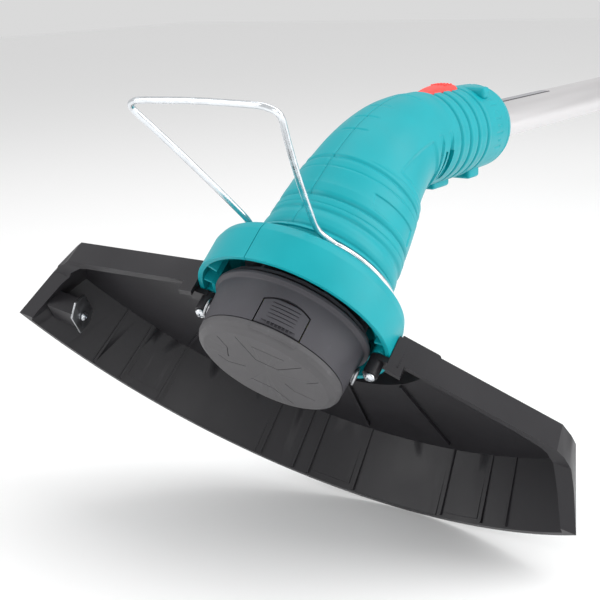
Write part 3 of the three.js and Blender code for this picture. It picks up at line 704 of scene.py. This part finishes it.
def collar_half(sign):
    start = 0.25 if sign > 0 else 180.25
    outer = fillet([(54.9, 0.0), (57.9, 0.0), (57.9, 19.0, 4), (56.4, 23.8, 3), (52.5, 26.2, 3),
                    (47.6, 28.6, 0.6), (42.0, 28.6), (42.0, 24.5), (49.8, 19.5), (54.9, 17.5)], 0.5, 4)
    wall = lathe(outer, 120, start, 179.5)
    foot, first, span = (5.5, 62, 117.5) if sign > 0 else (0.8, 180.5, 120)
    ring = fillet([(47.4, foot), (49.9, foot), (49.9, 20), (46, 23), (43, 23), (47.4, 18)], 0.4)
    parts = [wall, lathe(ring, 90, first, span)]
    boss = BOSS_AT[1] if sign > 0 else BOSS_AT[0]
    x, y = BOSS_RING * cos(radians(boss)), BOSS_RING * sin(radians(boss))
    post = lathe(fillet([(1.9, 0.5), (4.4, 0.5), (4.4, 19), (1.9, 19)], 0.3), 32)
    parts.append(moved(post, (x, y, 0)))
    for angle in ([boss - 13, boss + 14, boss + 34] if sign < 0 else [boss - 14, boss + 16]):
        web = block(49.0, 55.6, -0.9, 0.9, 1.4, 20, 0.3)
        parts.append(moved(web, turn=about_z(angle)))
    return beside(*parts)


def sleeve_lugs(sign):
    """One half of the bar over the sleeve and of the two lugs under it."""
    lugs = []
    for x0, x1, half, length, soft, at in ((20, 27.6, 20.5, 9, 2.6, 86), (-31.5, -21, 9.5, 20, 2.2, 42),
                                           (-30, -19, 14.5, 14, 2.2, 78)):
        y0, y1 = (SEAM, half) if sign > 0 else (-half, -SEAM)
        lugs.append(to_shaft(block(x0, x1, y0, y1, 0, length, soft, 4), at))
    return lugs


for sign, label in ((1, "left"), (-1, "right")):
    half = cut(neck_half(sign), to_shaft(block(10, 40, -8.3, 8.3, 0, 33), BUTTON_AT))
    for s, turn in ((25.2, 8), (33.2, 2)):
        vent = moved(block(-16, 2, -22, 22, -1.35, 1.35), (-6, sign * 22, 0), about_y(-turn))
        half = cut(half, to_shaft(vent, s))
    end_plate = lathe(fillet([(14.2, 190), (25.0, 190), (25.6, 203.4), (24.4, 204.9, 1.2),
                              (15.4, 204.9, 1.0), (14.2, 203.4)], 0.4), 90,
                      0.4 if sign > 0 else 180.4, 179.2)
    moved(end_plate, (0, 0, -NECK_END + SLEEVE_END))
    parts = [half, collar_half(sign), to_shaft(end_plate, 0)] + sleeve_lugs(sign)
    finish(beside(*parts), "neck_" + label, "head", TEAL, ["neck_shell_" + label])


# ---- screws ----
def pan_screw(shank, head_r, head_h, length):
    """Pan head with a cross recess at z = 0, shank running up +Z."""
    profile = [(0, 0), (head_r * 0.55, 0, 0.6), (head_r, head_h * 0.45, 0.8), (head_r, head_h, 0.2),
               (shank, head_h, 0), (shank, head_h + length * 0.9, 0), (shank * 0.5, head_h + length, 0),
               (0, head_h + length, 0)]
    body = lathe(fillet(profile, 0.3), 40)
    arm = head_r * 0.62
    for a, b in ((arm, head_r * 0.13), (head_r * 0.13, arm)):
        body = cut(body, block(-a, a, -b, b, -1, head_h * 0.62, 0))
    return body


for i, (x, z, depth) in enumerate([(15, 108, 20), (-26, 108, 15), (*on_shaft(78, -23.8), 9)]):
    screw = moved(pan_screw(1.5, 3.2, 2.4, depth * 2 - 6), (x, -depth - 2.5, z), about_x(-90))
    name = "neck_screw_%d" % (i + 1)
    finish(screw, "cross_" + name, "head", ZINC, [name])

# ---- red button ----
rows = []
for z, top, half_width in ((0.4, 27.4, 3.0), (1.0, 27.8, 4.4), (4, 28.7, 6.0), (9, 29.6, 7.1),
                           (15, 30.4, 7.7), (22, 30.9, 7.9), (28, 30.9, 7.9), (31, 30.3, 7.7),
                           (32.0, 29.4, 7.4)):
    ring = []
    for k in range(48):
        a = 2 * pi * k / 48
        c, s = cos(a), sin(a)
        y = half_width * np.sign(s) * abs(s) ** 0.45
        x = 25.0 + (top - 25.0) * (np.sign(c) * abs(c) ** 0.45)
        ring.append((max(x - 0.012 * y * y, 22.2), y, z))
    rows.append(ring)
parts = [loft(smooth_line(np.array(rows).reshape(9, -1), 6).reshape(-1, 48, 3))]
for row in range(4):
    for column in range(5):
        y = -4.6 + column * 2.3
        z = 20.5 + row * 2.5
        bump = lathe(fillet([(0, 0), (0.8, 0), (0.55, 0.75), (0, 0.75)], 0.2), 12)
        parts.append(moved(bump, (30.6 - 0.012 * y * y, y, z), about_y(90)))
parts.append(block(20.9, 26, -6.6, 6.6, 8.5, 29.5, 0.8))
finish(to_shaft(beside(*parts), BUTTON_AT), "release_button", "button", RED,
       ["swivel_button"])

# ---- plant guard wire ----
WIRE_LEVEL = 31.5
half_wire = [(-2.5 + 45.4 * cos(radians(a)), 45.4 * sin(radians(a))) for a in range(122, 35, -6)]
half_wire += [(43.5, 23.2), (60, 26.2), (90, 34.0), (112, 40.6), (124, 44.6), (130.5, 46.6),
              (134.6, 46.0), (137.0, 42.6), (138.4, 37)]
outline = [(x, -y) for x, y in half_wire] + [(139.2, -18), (139.6, 0), (139.2, 18)] + half_wire[::-1]
run = [(x, y, WIRE_LEVEL) for x, y in outline]
finish(sweep(smooth_line(run, 7), 1.75, 20), "wire_loop", "wire", ZINC,
       ["wire_guard"], sharp=60)

# ---- guard ----
CENTRE_U, CENTRE_V = 67.4, -5.3
TOP, FLOOR, WALL = 13.0, -30.0, 3.0
TOP_R, FLOOR_R = 216, 229
ROOF_CUT = 79.5
COLLAR_CLEAR = 58.4
top_corners = [(-46, -163), (-38, -160), (-30, -154), (26, -8), (-34, 151.7), (-44, 157.5),
               (-53, 161)]
floor_corners = [(-52, -181), (-44, -174), (-34, -160), (26, -8), (-38, 158), (-48, 170),
                 (-56, 174)]


def guard_ring(radius, spread, z, inset, end, corners, pieces=72):
    ring = []
    trim = degrees(end / radius)
    for u, v in corners:
        away = 1 if v < 0 else -1
        ring.append((u - inset * 1.06, v + away * (end if abs(v) > 140 else 0), z))
    for i in range(pieces + 1):
        a = radians(180 - (spread - trim) + (spread - trim) * 2 * i / pieces)
        ring.append((CENTRE_U + (radius - inset) * cos(a), CENTRE_V + (radius - inset) * sin(a), z))
    return ring


def guard_outer():
    return loft([guard_ring(TOP_R, 50, TOP, 0, 0, top_corners),
                 guard_ring(FLOOR_R, 53, FLOOR, 0, 0, floor_corners)])


def guard_inner():
    return loft([guard_ring(TOP_R, 50, TOP - WALL, WALL, 8, top_corners),
                 guard_ring(FLOOR_R + 0.6, 53, FLOOR - 2, WALL, 8, floor_corners)])


guard = cut(guard_outer(), guard_inner(), disc(ROOF_CUT, -40, 40, 128))
roof = lathe(fillet([(COLLAR_CLEAR, 18.5), (ROOF_CUT, 18.5), (ROOF_CUT, 10), (82.5, 10), (82.5, 21.5, 2),
                     (COLLAR_CLEAR, 21.5, 0.4)], 0), 128)
back_corners = [(u - 17, v) for u, v in top_corners]
prism = loft([guard_ring(214, 50, 40, 0, 0, back_corners),
              guard_ring(214, 50, -20, 0, 0, back_corners)])
guard = join(guard, keep(roof, prism))
walls = keep(cut(guard_outer(), guard_inner()), disc(84, -8, 40, 96))
walls = cut(walls, disc(COLLAR_CLEAR, -60, 60, 128))
walls = keep(walls, block(-33, 40, -90, 90, -20, 40))
guard = join(guard, walls)
for side in (BOSS_SPREAD, -BOSS_SPREAD):
    x, y = -cos(radians(side)), -sin(radians(side))
    boss = (BOSS_RING * x, BOSS_RING * y, 0)
    radial = about_z(degrees(atan2(y, x)))
    guard = join(guard, moved(block(BOSS_RING, 64, -5, 5, -3.6, -0.4), turn=radial))
    guard = join(guard, moved(block(COLLAR_CLEAR, 64, -5.5, 5.5, -3.6, 11), turn=radial))
    guard = join(guard, moved(disc(4.4, -12, -0.4, 40), boss))
    guard = cut(guard, moved(disc(1.9, -20, 0, 24), boss))
guard = cut(guard, disc(COLLAR_CLEAR, -0.2, 30, 128))
floor_cut = slab([(80, -60), (80, -1.5), (-32, -1.5), (-48, -4), (-70, FLOOR), (-70, -60)],
                 -250, 250)
guard = cut(guard, cut(floor_cut, disc(66.9, -20, 0, 64)))


def skirt_point(angle, z, inset):
    k = (TOP - z) / (TOP - FLOOR)
    r = TOP_R + (FLOOR_R - TOP_R) * k - inset
    a = radians(angle)
    return (CENTRE_U + r * cos(a), CENTRE_V + r * sin(a), z)


def skirt_rib(angle, width, proud, z0, z1):
    """Bar standing off the skirt's inside, following its slope."""
    half = degrees(width / 2 / TOP_R)
    ring_low, ring_high = [], []
    for a, inset in ((angle - half, 1.2), (angle - half, WALL + proud), (angle + half, WALL + proud),
                     (angle + half, 1.2)):
        ring_low.append(skirt_point(a, z0, inset))
        ring_high.append(skirt_point(a, z1, inset))
    return loft([ring_low, ring_high])


details = []
for angle in (218.3, 213.1, 205.8, 186.3, 180.3, 177.5, 169.1, 152.8, 145.2, 140.4):
    details.append(skirt_rib(angle, 1.5, 1.6, -29.0, 11.0))
# panels between the ribs stand a little proud and stop short of the edge
for a0, a1, z0 in ((206.6, 212.3, -24), (187.2, 205.0, -29.6), (170.0, 176.8, -26),
                   (146.0, 152.0, -27), (153.6, 168.3, -29.6)):
    low_ring, high_ring = [], []
    for k in range(17):
        a = a0 + (a1 - a0) * k / 16
        low_ring.append(skirt_point(a, z0, WALL + 0.7))
        high_ring.append(skirt_point(a, 10.8, WALL + 0.7))
    for k in range(16, -1, -1):
        a = a0 + (a1 - a0) * k / 16
        low_ring.append(skirt_point(a, z0, 1.2))
        high_ring.append(skirt_point(a, 10.8, 1.2))
    details.append(loft([low_ring, high_ring]))
# stiffeners under the roof, running from the cut-out to the skirt
for angle in (205.8, 186.3, 169.1, 152.8):
    bar = block(-205, 0, -0.8, 0.8, 8.2, 11.5)
    a = radians(angle)
    moved(bar, turn=about_z(degrees(atan2(sin(a + pi), cos(a + pi)))))
    moved(bar, (CENTRE_U, CENTRE_V, 0))
    details.append(cut(keep(bar, guard_outer()), disc(80.5, -40, 40, 96)))
pad = keep(block(-81, -63, -170, -152, -21, -9), guard_outer())
guard = join(guard, *details, pad)
guard = cut(guard, along_y(disc(1.5, -8, 0.1, 20), (-74, -152, -15)))
guard = ground_edges(guard, 0.55, 2, 35)
finish(guard, "debris_guard", "head", SATIN, ["guard"], GUARD, sharp=38,
       weighted=True)
for i, side in enumerate((BOSS_SPREAD, -BOSS_SPREAD)):
    x, y = -BOSS_RING * cos(radians(side)), -BOSS_RING * sin(radians(side))
    screw = moved(pan_screw(1.6, 3.6, 2.4, 24), (x, y, -14.7))
    finish(screw, "cross_guard_screw_%d" % (i + 1), "head", ZINC,
           ["guard_screw_%d" % (i + 1)], GUARD)
blade = slab(fillet([(-12, -8), (8, -8), (14, 0), (10, 9), (-10, 9), (-14, 2)], 0.8), -0.6, 0.6)
blade = cut(blade, moved(disc(1.8, -5, 5, 24), (-2, 0, 0), about_x(90)))
blade = ground_edges(blade, 0.25, 2, 40)
finish(moved(blade, (-72, -151.0, -15)), "line_blade", "head", STEEL,
       ["cutter_blade"], GUARD)
screw = moved(pan_screw(1.2, 3.0, 2.0, 7), (-74, -148.0, -15), about_x(90))
finish(screw, "cross_blade_screw", "head", ZINC, ["blade_screw"], GUARD)

# ---- spool ----
LATCHES = (32.5, 212.5)
EYELETS = (122.5, 302.5)


def arched(half, top, sag, foot):
    """Block with an arched top, standing through the drum's wall at angle zero."""
    outline = []
    for k in range(13):
        w = -half + 2 * half * k / 12
        outline.append((w, top - sag * (w / half) ** 2))
    outline += [(half, foot), (-half, foot)]
    return moved(slab(outline, 30, 60), turn=about_z(-90))


housing = lathe(fillet([(3.9, 0.6, 0), (46.2, 0.6, 0.5), (46.2, -1.4, 0.6), (43.9, -2.6, 1.4),
                        (42.3, -26, 0.3), (39.7, -26, 0.3), (40.3, -3, 0), (7, -3, 0), (7, -9, 0),
                        (3.9, -9, 0)], 0.4), 160)
for angle in LATCHES:
    housing = cut(housing, moved(arched(13.4, -9.0, 3.2, -28), turn=about_z(angle)))
for angle in EYELETS:
    hole = moved(disc(4.2, 30, 60, 32), (0, 0, -14), about_y(90))
    housing = cut(housing, moved(hole, turn=about_z(angle)))
housing = ground_edges(housing, 0.35, 2, 50)
finish(housing, "drum", "spool", BLACK, ["spool_housing"], weighted=True)

cap = lathe(fillet([(0, -33.5, 0), (37.2, -33.5, 2.5), (40.8, -31.6, 2.0), (42.1, -29.2, 1.2),
                    (42.1, -26.3, 0.5), (39.7, -26.3, 0.2), (38.7, -30.5, 0), (6, -30.5, 0),
                    (6, -24, 0), (0, -24, 0)], 0.6, 4), 160)


def groove(points, width=0.5, depth=0.5):
    tools = []
    for (x0, y0), (x1, y1) in zip(points[:-1], points[1:]):
        length = sqrt((x1 - x0) ** 2 + (y1 - y0) ** 2)
        tool = block(-0.2, length + 0.2, -width / 2, width / 2, -40, -33.5 + depth)
        moved(tool, turn=about_z(degrees(atan2(y1 - y0, x1 - x0))))
        tools.append(moved(tool, (x0, y0, 0)))
    return tools


for line in ([(30.5, -15), (20, -14.5), (9.5, -20)], [(33.5, -1), (12, 0.4), (5.3, 11.6), (13.4, 31)],
             [(26, 6), (17.4, 22)], [(8.5, -27.5), (3, -24), (1.6, -13)], [(-4, 25.6), (0, 35)],
             [(-10, 8), (-16.5, 10.5), (-23, 21)], [(-33.5, 1), (-19, -5), (-12, -16)]):
    for tool in groove(line):
        cap = cut(cap, tool)
for k in range(-4, 5):
    notch = block(39.4, 46, -0.4, 0.4, -31.8, -28.2)
    cap = cut(cap, moved(notch, turn=about_z(LATCHES[1] + k * 2.4)))
cap = ground_edges(cap, 0.2, 1, 50)
lip = lathe(fillet([(38.8, -30.8), (43.3, -30.2, 1.4), (43.5, -27.4, 0.8), (38.8, -27.0)], 0.6, 4),
            36, LATCHES[0] - 17.5, 35)
# the cap takes the black plastic painted lighter as painted light
finish(beside(cap, lip), "drum_cap", "spool", CAP_BLACK_PAINTED_LIGHT, ["spool_cap"], weighted=True)
for i, angle in enumerate(LATCHES):
    shape = lathe(fillet([(39.4, -25.7), (42.3, -25.7, 0.8), (43.0, -10.2, 0.8), (39.9, -10.2)], 0.3),
                  64, angle - 22, 44)
    shape = keep(shape, moved(arched(12.7, -9.9, 2.9, -25.8), turn=about_z(angle)))
    for k in range(5):
        line = block(41.7, 60, -7.8, 7.8, -21.4 + k * 2.1, -20.9 + k * 2.1)
        shape = cut(shape, moved(line, turn=about_z(angle)))
    mouth = block(41.0, 60, -9.6, 9.6, -25.2, -23.4)
    shape = cut(shape, moved(mouth, turn=about_z(angle)))
    teeth = [shape]
    for k in range(-4, 5):
        if k % 4 == 0 and k != 0:
            continue
        teeth.append(moved(block(40.6, 42.1, k * 2.1 - 0.2, k * 2.1 + 0.2, -25.2, -23.4),
                           turn=about_z(angle)))
    shape = ground_edges(beside(*teeth), 0.2, 1, 50)
    finish(shape, "latch_face_%d" % (i + 1), "latch_%d" % (i + 1), BLACK,
           ["cap_latch_%d" % (i + 1)], weighted=True)
for i, angle in enumerate(EYELETS):
    ring = lathe(fillet([(1.6, -4.6), (3.9, -4.6), (3.9, 1.2), (5.2, 1.2), (5.2, 2.6, 0.8),
                         (1.6, 2.6, 0.8)], 0.3), 32)
    moved(ring, (42.6, 0, -14), about_y(90))
    finish(moved(ring, turn=about_z(angle)), "eyelet_%d" % (i + 1), "spool", STEEL,
           ["line_eyelet_%d" % (i + 1)])

# ---- tubes ----


def tube(inner, outer, length):
    return lathe(fillet([(inner, 0), (outer, 0), (outer, length), (inner, length)], 0.3), 96)


finish(moved(tube(11.6, 13.0, 588), (0, 0, 52)), "slim_tube", "telescope", ALLOY,
       ["lower_tube"], BACK)
finish(moved(tube(14.4, 16.0, 453), (0, 0, 452)), "wide_tube", "handle", ALLOY,
       ["upper_tube"], BACK)
band = lathe(fillet([(12.6, 118), (13.06, 118), (13.06, 214), (12.6, 214)], 0), 48, -62, 78)
finish(band, "label_band", "telescope", LABEL, (), BACK)
strip = lathe(fillet([(12.6, 116), (13.09, 116), (13.09, 216), (12.6, 216)], 0), 10, 16, 5)
finish(strip, "label_edge", "telescope", LABEL_DARK, (), BACK)

# ---- telescope clamp ----
CLAMP = BACK.inside(move=(0, 0, 430))
collar = lathe(fillet([(0, -30, 0), (17.5, -30, 1.5), (21, -24, 2), (22, 8, 1), (22, 36, 2),
                       (19.5, 42, 2), (0, 42, 0)], 1), 96)
for k in range(24):
    rib_cut = block(21.2, 24, -0.7, 0.7, 12, 33, 0)
    collar = cut(collar, moved(rib_cut, turn=about_z(7.5 + k * 15)))
collar = join(collar, block(14, 33, -9, 9, -16, 2, 1.6))
collar = cut(collar, disc(13.45, -40, 21.7, 96), disc(16.45, 21.4, 60, 96))
collar = cut(collar, block(10, 40, -0.9, 0.9, -40, 21))
collar = cut(collar, along_y(disc(2.4, -20, 20, 32), (29, 0, -8)))
collar = ground_edges(collar, 0.4, 2, 45)
finish(collar, "clamp_collar", "handle", TEAL, ["clamp_body"], CLAMP, weighted=True)
LEVER = SHAFT.inside(move=(-422, 0, 29), turn=about_y(180))
lever = slab(fillet([(-5, -4, 2), (6, -5.6, 2), (14, -4.2, 3), (46, -2.5, 2), (49, 0.5, 1.5),
                     (46, 3.5, 2), (14, 4.5, 3), (4, 6, 2), (-5, 4, 2)], 2, 5), -12.5, 12.5)
lever = cut(lever, block(-8, 13, -9.4, 9.4, -20, 20))
lever = cut(lever, along_y(disc(2.4, -20, 20, 32)))
for k in range(6):
    lever = cut(lever, block(24 + k * 3.4, 25.2 + k * 3.4, -9, 9, -9, -3.3 + 0.6))
lever = ground_edges(lever, 0.8, 3, 40)
finish(lever, "lever_arm", "lever", BLACK, ["clamp_lever"], LEVER, weighted=True)
pin = moved(disc(2.1, -12.4, 12.4, 32, 0.4), turn=about_x(90))
finish(moved(pin, (-422, 0, 29)), "lever_pin", "handle", ZINC, ["clamp_pin"], SHAFT)

# ---- auxiliary handle ----
AUX = SHAFT.inside(move=(-655, 0, 0))
PIVOT = (0, 0, 33)
base = moved(lathe(fillet([(16.4, -22), (22, -22, 2), (22, 22, 2), (16.4, 22)], 0.5), 96),
             turn=about_y(90))
base = join(base, block(-13, 13, -12, 12, 17, 42, 3.5, 4))
base = cut(base, moved(disc(16.4, -30, 30, 96), turn=about_y(90)))
base = cut(base, along_y(disc(3.4, -40, 40, 32), PIVOT))
for x in (-16, 16):
    base = cut(base, moved(lathe([(21.3, -0.8), (30, -0.8), (30, 0.8), (21.3, 0.8)], 96),
                           (x, 0, 0), about_y(90)))
base = ground_edges(base, 0.4, 2, 50)
finish(base, "loop_base", "handle", BLACK, ["aux_base"], AUX, weighted=True)
side_run = [(19, 36), (31, 50), (52, 72), (61, 100), (52, 128), (30, 144)]
path = [(0, -y, z) for y, z in side_run] + [(0, 0, 148)] + [(0, y, z) for y, z in side_run[::-1]]
path = smooth_line(path, 14)
along = np.linspace(0, 1, len(path))
thick = 9.2 + 0.3 * np.cos((along - 0.5) * 2 * pi) - 0.45 * (np.abs((along * 60) % 1 - 0.5) < 0.16) * (
    np.abs(along - 0.5) < 0.2)
loop = sweep(path, thick, 32)
for turn in (0, 180):
    hub = along_y(disc(12.5, 12.4, 24, 64, 1.2), PIVOT)
    loop = join(loop, moved(hub, turn=about_z(turn)))
loop = cut(loop, block(-20, 20, -12.4, 12.4, 10, 60))
loop = cut(loop, along_y(disc(3.4, -40, 40, 32), PIVOT))
for turn in (0, 180):
    face = along_y(disc(16, 24, 60, 48), PIVOT)
    loop = cut(loop, moved(face, turn=about_z(turn)))
finish(loop, "loop_grip", "loop", RUBBER, ["aux_loop"], AUX)
knob = lathe(fillet([(3.4, 0), (11, 0, 1), (11, 13, 2.5), (0, 13, 0), (0, 10, 0), (3.4, 10, 0)], 0.4), 64)
for k in range(3):
    lobe = disc(4.2, 0.2, 12, 40, 1.4)
    knob = join(knob, moved(lobe, (11 * cos(radians(k * 120)), 11 * sin(radians(k * 120)), 0)))
knob = ground_edges(knob, 0.5, 3, 35)
knob = moved(knob, (0, 24.4, 33), about_x(-90))
finish(knob, "loop_knob", "knob", BLACK, ["aux_knob"], AUX, weighted=True)
hexagon = lathe([(0, -5), (6.5, -5), (6.5, 0), (0, 0)], 6)
hexagon = ground_edges(hexagon, 0.5, 2, 30)
bolt = beside(hexagon, disc(3.0, -0.5, 56, 40, 0.4))
finish(moved(bolt, (0, -24.4, 33), about_x(-90)), "loop_bolt", "handle", ZINC,
       ["aux_bolt"], AUX)

# ---- rear handle ----
handle_line = [(-838, 0, 90, 20, 20, 2), (-846, 0, 90, 22.5, 22.5, 2), (-880, -1, 92, 23, 24, 2.2),
               (-906, -8, 108, 21, 24, 2.3), (-926, -21, 122, 18.2, 21, 2.4),
               (-960, -47, 126, 17.5, 19.5, 2.4), (-1000, -76, 126, 17.5, 19.5, 2.4),
               (-1022, -95, 134, 20, 23, 2.6), (-1038, -116, 150, 27, 31, 3),
               (-1045, -138, 172, 34, 46, 4), (-1047, -152, 180, 37, 60, 6),
               (-1047, -165, 180, 37, 61, 6)]


def section(x, z, tilt, half_y, half_n, power=2.0, count=72):
    ring = []
    for i in range(count):
        t = 2 * pi * i / count
        c = np.sign(cos(t)) * abs(cos(t)) ** (2 / power)
        s = np.sign(sin(t)) * abs(sin(t)) ** (2 / power)
        ring.append((x + c * half_n * cos(radians(tilt)), s * half_y,
                     z + c * half_n * sin(radians(tilt))))
    return ring


def handle_rows(inset, per):
    rings = np.array([section(x, z, a, hy - inset, hn - inset, p) for x, z, a, hy, hn, p in handle_line])
    return smooth_line(rings.reshape(len(rings), -1), per).reshape(-1, 72, 3)


def handle_loft(inset, first, last):
    return loft(handle_rows(inset, 6)[first * 6:last * 6 + 1])


handle = cut(handle_loft(0, 0, 11), handle_loft(3, 3, 10))
handle = cut(handle, moved(disc(16.6, -910, -830, 72), turn=about_y(90)))
plate = keep(block(-1100, -993, -33, 33, -157.9, -149), handle_loft(0.5, 0, 11))
handle = join(handle, plate)
handle = cut(handle, block(-1115, -992, -28, 28, -163, -158.2))
handle = cut(handle, block(-1115, -992, -22.6, 22.6, -170, -158.2))
handle = cut(handle, block(-1012, -991, -12.3, 12.3, -159, -151.7))
LEAN_GRIP = about_y(-36)


def in_grip(obj):
    return moved(obj, (-935, 0, -29), LEAN_GRIP)


handle = cut(handle, in_grip(block(-17, 23, -8, 8, -40, -9)))
handle = cut(handle, in_grip(block(-1, 13, -6.3, 6.3, 12, 40)))
for k in range(5):
    handle = cut(handle, block(-890 + k * 9, -886.6 + k * 9, -60, 60, -8, 9, 1.2))
for z in (-143.0, -146.5):
    line = cut(block(-1130, -960, -60, 60, z - 0.5, z + 0.5),
               block(-1098, -996, -33.4, 33.4, z - 1, z + 1))
    handle = cut(handle, line)
handle_screws = [(-868, -19.3, 8), (-990, -69, 11), (-1062, -135, 20)]
for x, z, depth in handle_screws:
    handle = cut(handle, along_y(disc(3.6, -60, -depth, 36), (x, 0, z)))
for sign, label in ((1, "left"), (-1, "right")):
    y0, y1 = (0.14, 60) if sign > 0 else (-60, -0.14)
    half = keep(copy_of(handle), block(-1200, -800, y0, y1, -200, 60))
    half = ground_edges(half, 0.45, 2, 38)
    finish(half, "handle_" + label, "handle", TEAL, ["handle_shell_" + label], SHAFT,
           weighted=True)
drop(handle)

# soft pads moulded over both sides of the grip
rows = handle_rows(-0.9, 12)
rows_in = handle_rows(0.4, 12)
FIRST_ROW, LAST_ROW = 57, 86
for sign, label in ((1, "left"), (-1, "right")):
    first = 8 if sign > 0 else 44
    pads = []
    for k in range(FIRST_ROW, LAST_ROW + 1):
        dent = 0.55 if k % 3 == 0 else 0.0
        edge = min(k - FIRST_ROW, LAST_ROW - k) / 3.0
        rise = min(1.0, 0.35 + 0.65 * edge)
        outside, inside = rows[k][first:first + 21], rows_in[k][first:first + 21]
        lift = (rise * (1 - dent)) * np.minimum(1, np.minimum(np.arange(21), 20 - np.arange(21)) / 2 + 0.3)
        outside = inside + (outside - inside) * (0.35 + 0.65 * lift[:, None])
        pads.append(np.vstack([outside, inside[::-1]]))
    finish(loft(pads), "grip_pad_" + label, "handle", RUBBER, (), SHAFT)
for i, (x, z, depth) in enumerate(handle_screws):
    name = "handle_screw_%d" % (i + 1)
    screw = moved(pan_screw(1.5, 3.2, 2.4, depth * 2 - 5), (x, -depth - 2.5, z), about_x(-90))
    finish(screw, "cross_" + name, "handle", ZINC, [name], SHAFT)

trigger = slab(fillet([(-15.5, -15, 0.5), (-15.5, -21, 2), (-12, -27, 4), (0, -29.5, 6), (12, -29, 5),
                       (19, -25, 4), (21, -18, 3), (19, -11.5, 1), (13, -11.5, 1)], 1, 6), -7.5, 7.5)
trigger = cut(trigger, along_y(disc(1.8, -20, 20, 24), (16, 0, -15)))
trigger = cut(trigger, disc(2.6, -20, -10, 24))
for k in range(4):
    trigger = cut(trigger, block(-9 + k * 5, -8 + k * 5, -5, 5, -40, -28.2))
trigger = ground_edges(trigger, 1.3, 3, 40)
finish(trigger, "trigger_lever", "trigger", BLACK, ["trigger"], GRIP, weighted=True)
lock = block(-0.7, 12.7, -6, 6, 13.4, 24, 1.6, 4)
for k in range(4):
    lock = cut(lock, block(1.6 + k * 2.6, 2.3 + k * 2.6, -4.4, 4.4, 23.3, 30))
lock = join(lock, block(-3, 15, -6.5, 6.5, 11.8, 14, 0.4))
lock = ground_edges(lock, 0.25, 2, 45)
finish(lock, "lock_off_button", "lock", RED, ["lock_button"], GRIP, weighted=True)

# ---- battery ----
base_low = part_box("battery_base")[0]
FLOOR_LEVEL = (base_low.z - SHAFT_AT[2]) * 1000


def case_rings(levels):
    return loft([section(-1047, z, 180, 37 - i, 61 - i, 6, 96) for z, i in levels])


shape = case_rings([(-199, 0.9), (-198.4, 0.3), (-197.6, 0), (-190, 0), (-189.3, 0.8), (-188.2, 0.8),
                    (-187.5, 0), (-170, 0), (-166.4, 0.1), (-165.7, 0.5), (-165.4, 1.2)])
shape = join(shape, block(-1104, -994, -22.2, 22.2, -167, -158.6))
shape = join(shape, block(-1104, -994, -27.6, 27.6, -162.6, -158.6))
shape = cut(shape, block(-1101, -1004, -31.5, 31.5, -219.5, -170))
shape = cut(shape, block(-1003, -980, -10.4, 10.4, -186, -171))
for y in (-6, 6):
    shape = cut(shape, block(-1014, -980, y - 1, y + 1, -165, -150))
for k in range(7):
    for mirror in (-1, 1):
        rib = block(-1088 + k * 13, -1081 + k * 13, 36.2, 40, -185, -172, 0.6)
        shape = cut(shape, moved(rib, turn=np.diag([1, mirror, 1])))
shape = ground_edges(shape, 0.4, 2, 45)
finish(shape, "pack_case", "battery", BLACK, ["battery_case"], SHAFT, weighted=True)
shape = case_rings([(FLOOR_LEVEL, 3.0), (FLOOR_LEVEL + 0.5, 1.6), (FLOOR_LEVEL + 1.4, 0.6),
                    (FLOOR_LEVEL + 3, 0), (-201.2, 0), (-200.2, 0.3), (-199.4, 1.0)])
shape = cut(shape, block(-1101, -1004, -31.5, 31.5, -219.5, -170))
for x in (-1092, -1002):
    for y in (-22, 22):
        shape = cut(shape, moved(disc(3.4, FLOOR_LEVEL - 2, FLOOR_LEVEL + 2.2, 32), (x, y, 0)))
shape = ground_edges(shape, 0.4, 2, 45)
finish(shape, "pack_base", "battery", TEAL, ["battery_base"], SHAFT, weighted=True)
shape = block(-993, -984, -10, 10, -185.6, -171.4, 1.0)
shape = cut(shape, block(-994, -990, -7, 7, -183, -174))
shape = join(shape, block(-985.5, -983, -8, 8, -184, -173, 0.9))
for k in range(3):
    shape = cut(shape, block(-984, -982, -6, 6, -181.6 + k * 2.8, -180.8 + k * 2.8))
finish(shape, "pack_latch", "battery_button", RED, ["battery_latch"], SHAFT)

# ---- carried-over nodes and the last lines ----
kept_finish = (
    (STEEL, ["motor", "motor_shaft", "swivel_spring", "feed_spring", "trigger_pin", "trigger_spring",
             "lock_spring", "latch_spring"]),
    (BLACK, ["motor_cover", "swivel_bush", "cooling_fan", "switch_body"]),
    (RUBBER, ["power_cable"]),
    (RED, ["inner_spool"]),
    (NYLON, ["line_coil"]),
    (WRAP, ["cell_pack"]),
    (BRASS, ["terminal_block"]),
)
for material, names in kept_finish:
    for node_name in names:
        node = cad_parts[node_name]
        node.data.materials.clear()
        node.data.materials.append(material)
        edges = node.modifiers.new("edges", "BEVEL")
        edges.width = 0.00025
        edges.segments = 2
        edges.limit_method = "ANGLE"
        edges.angle_limit = radians(50)
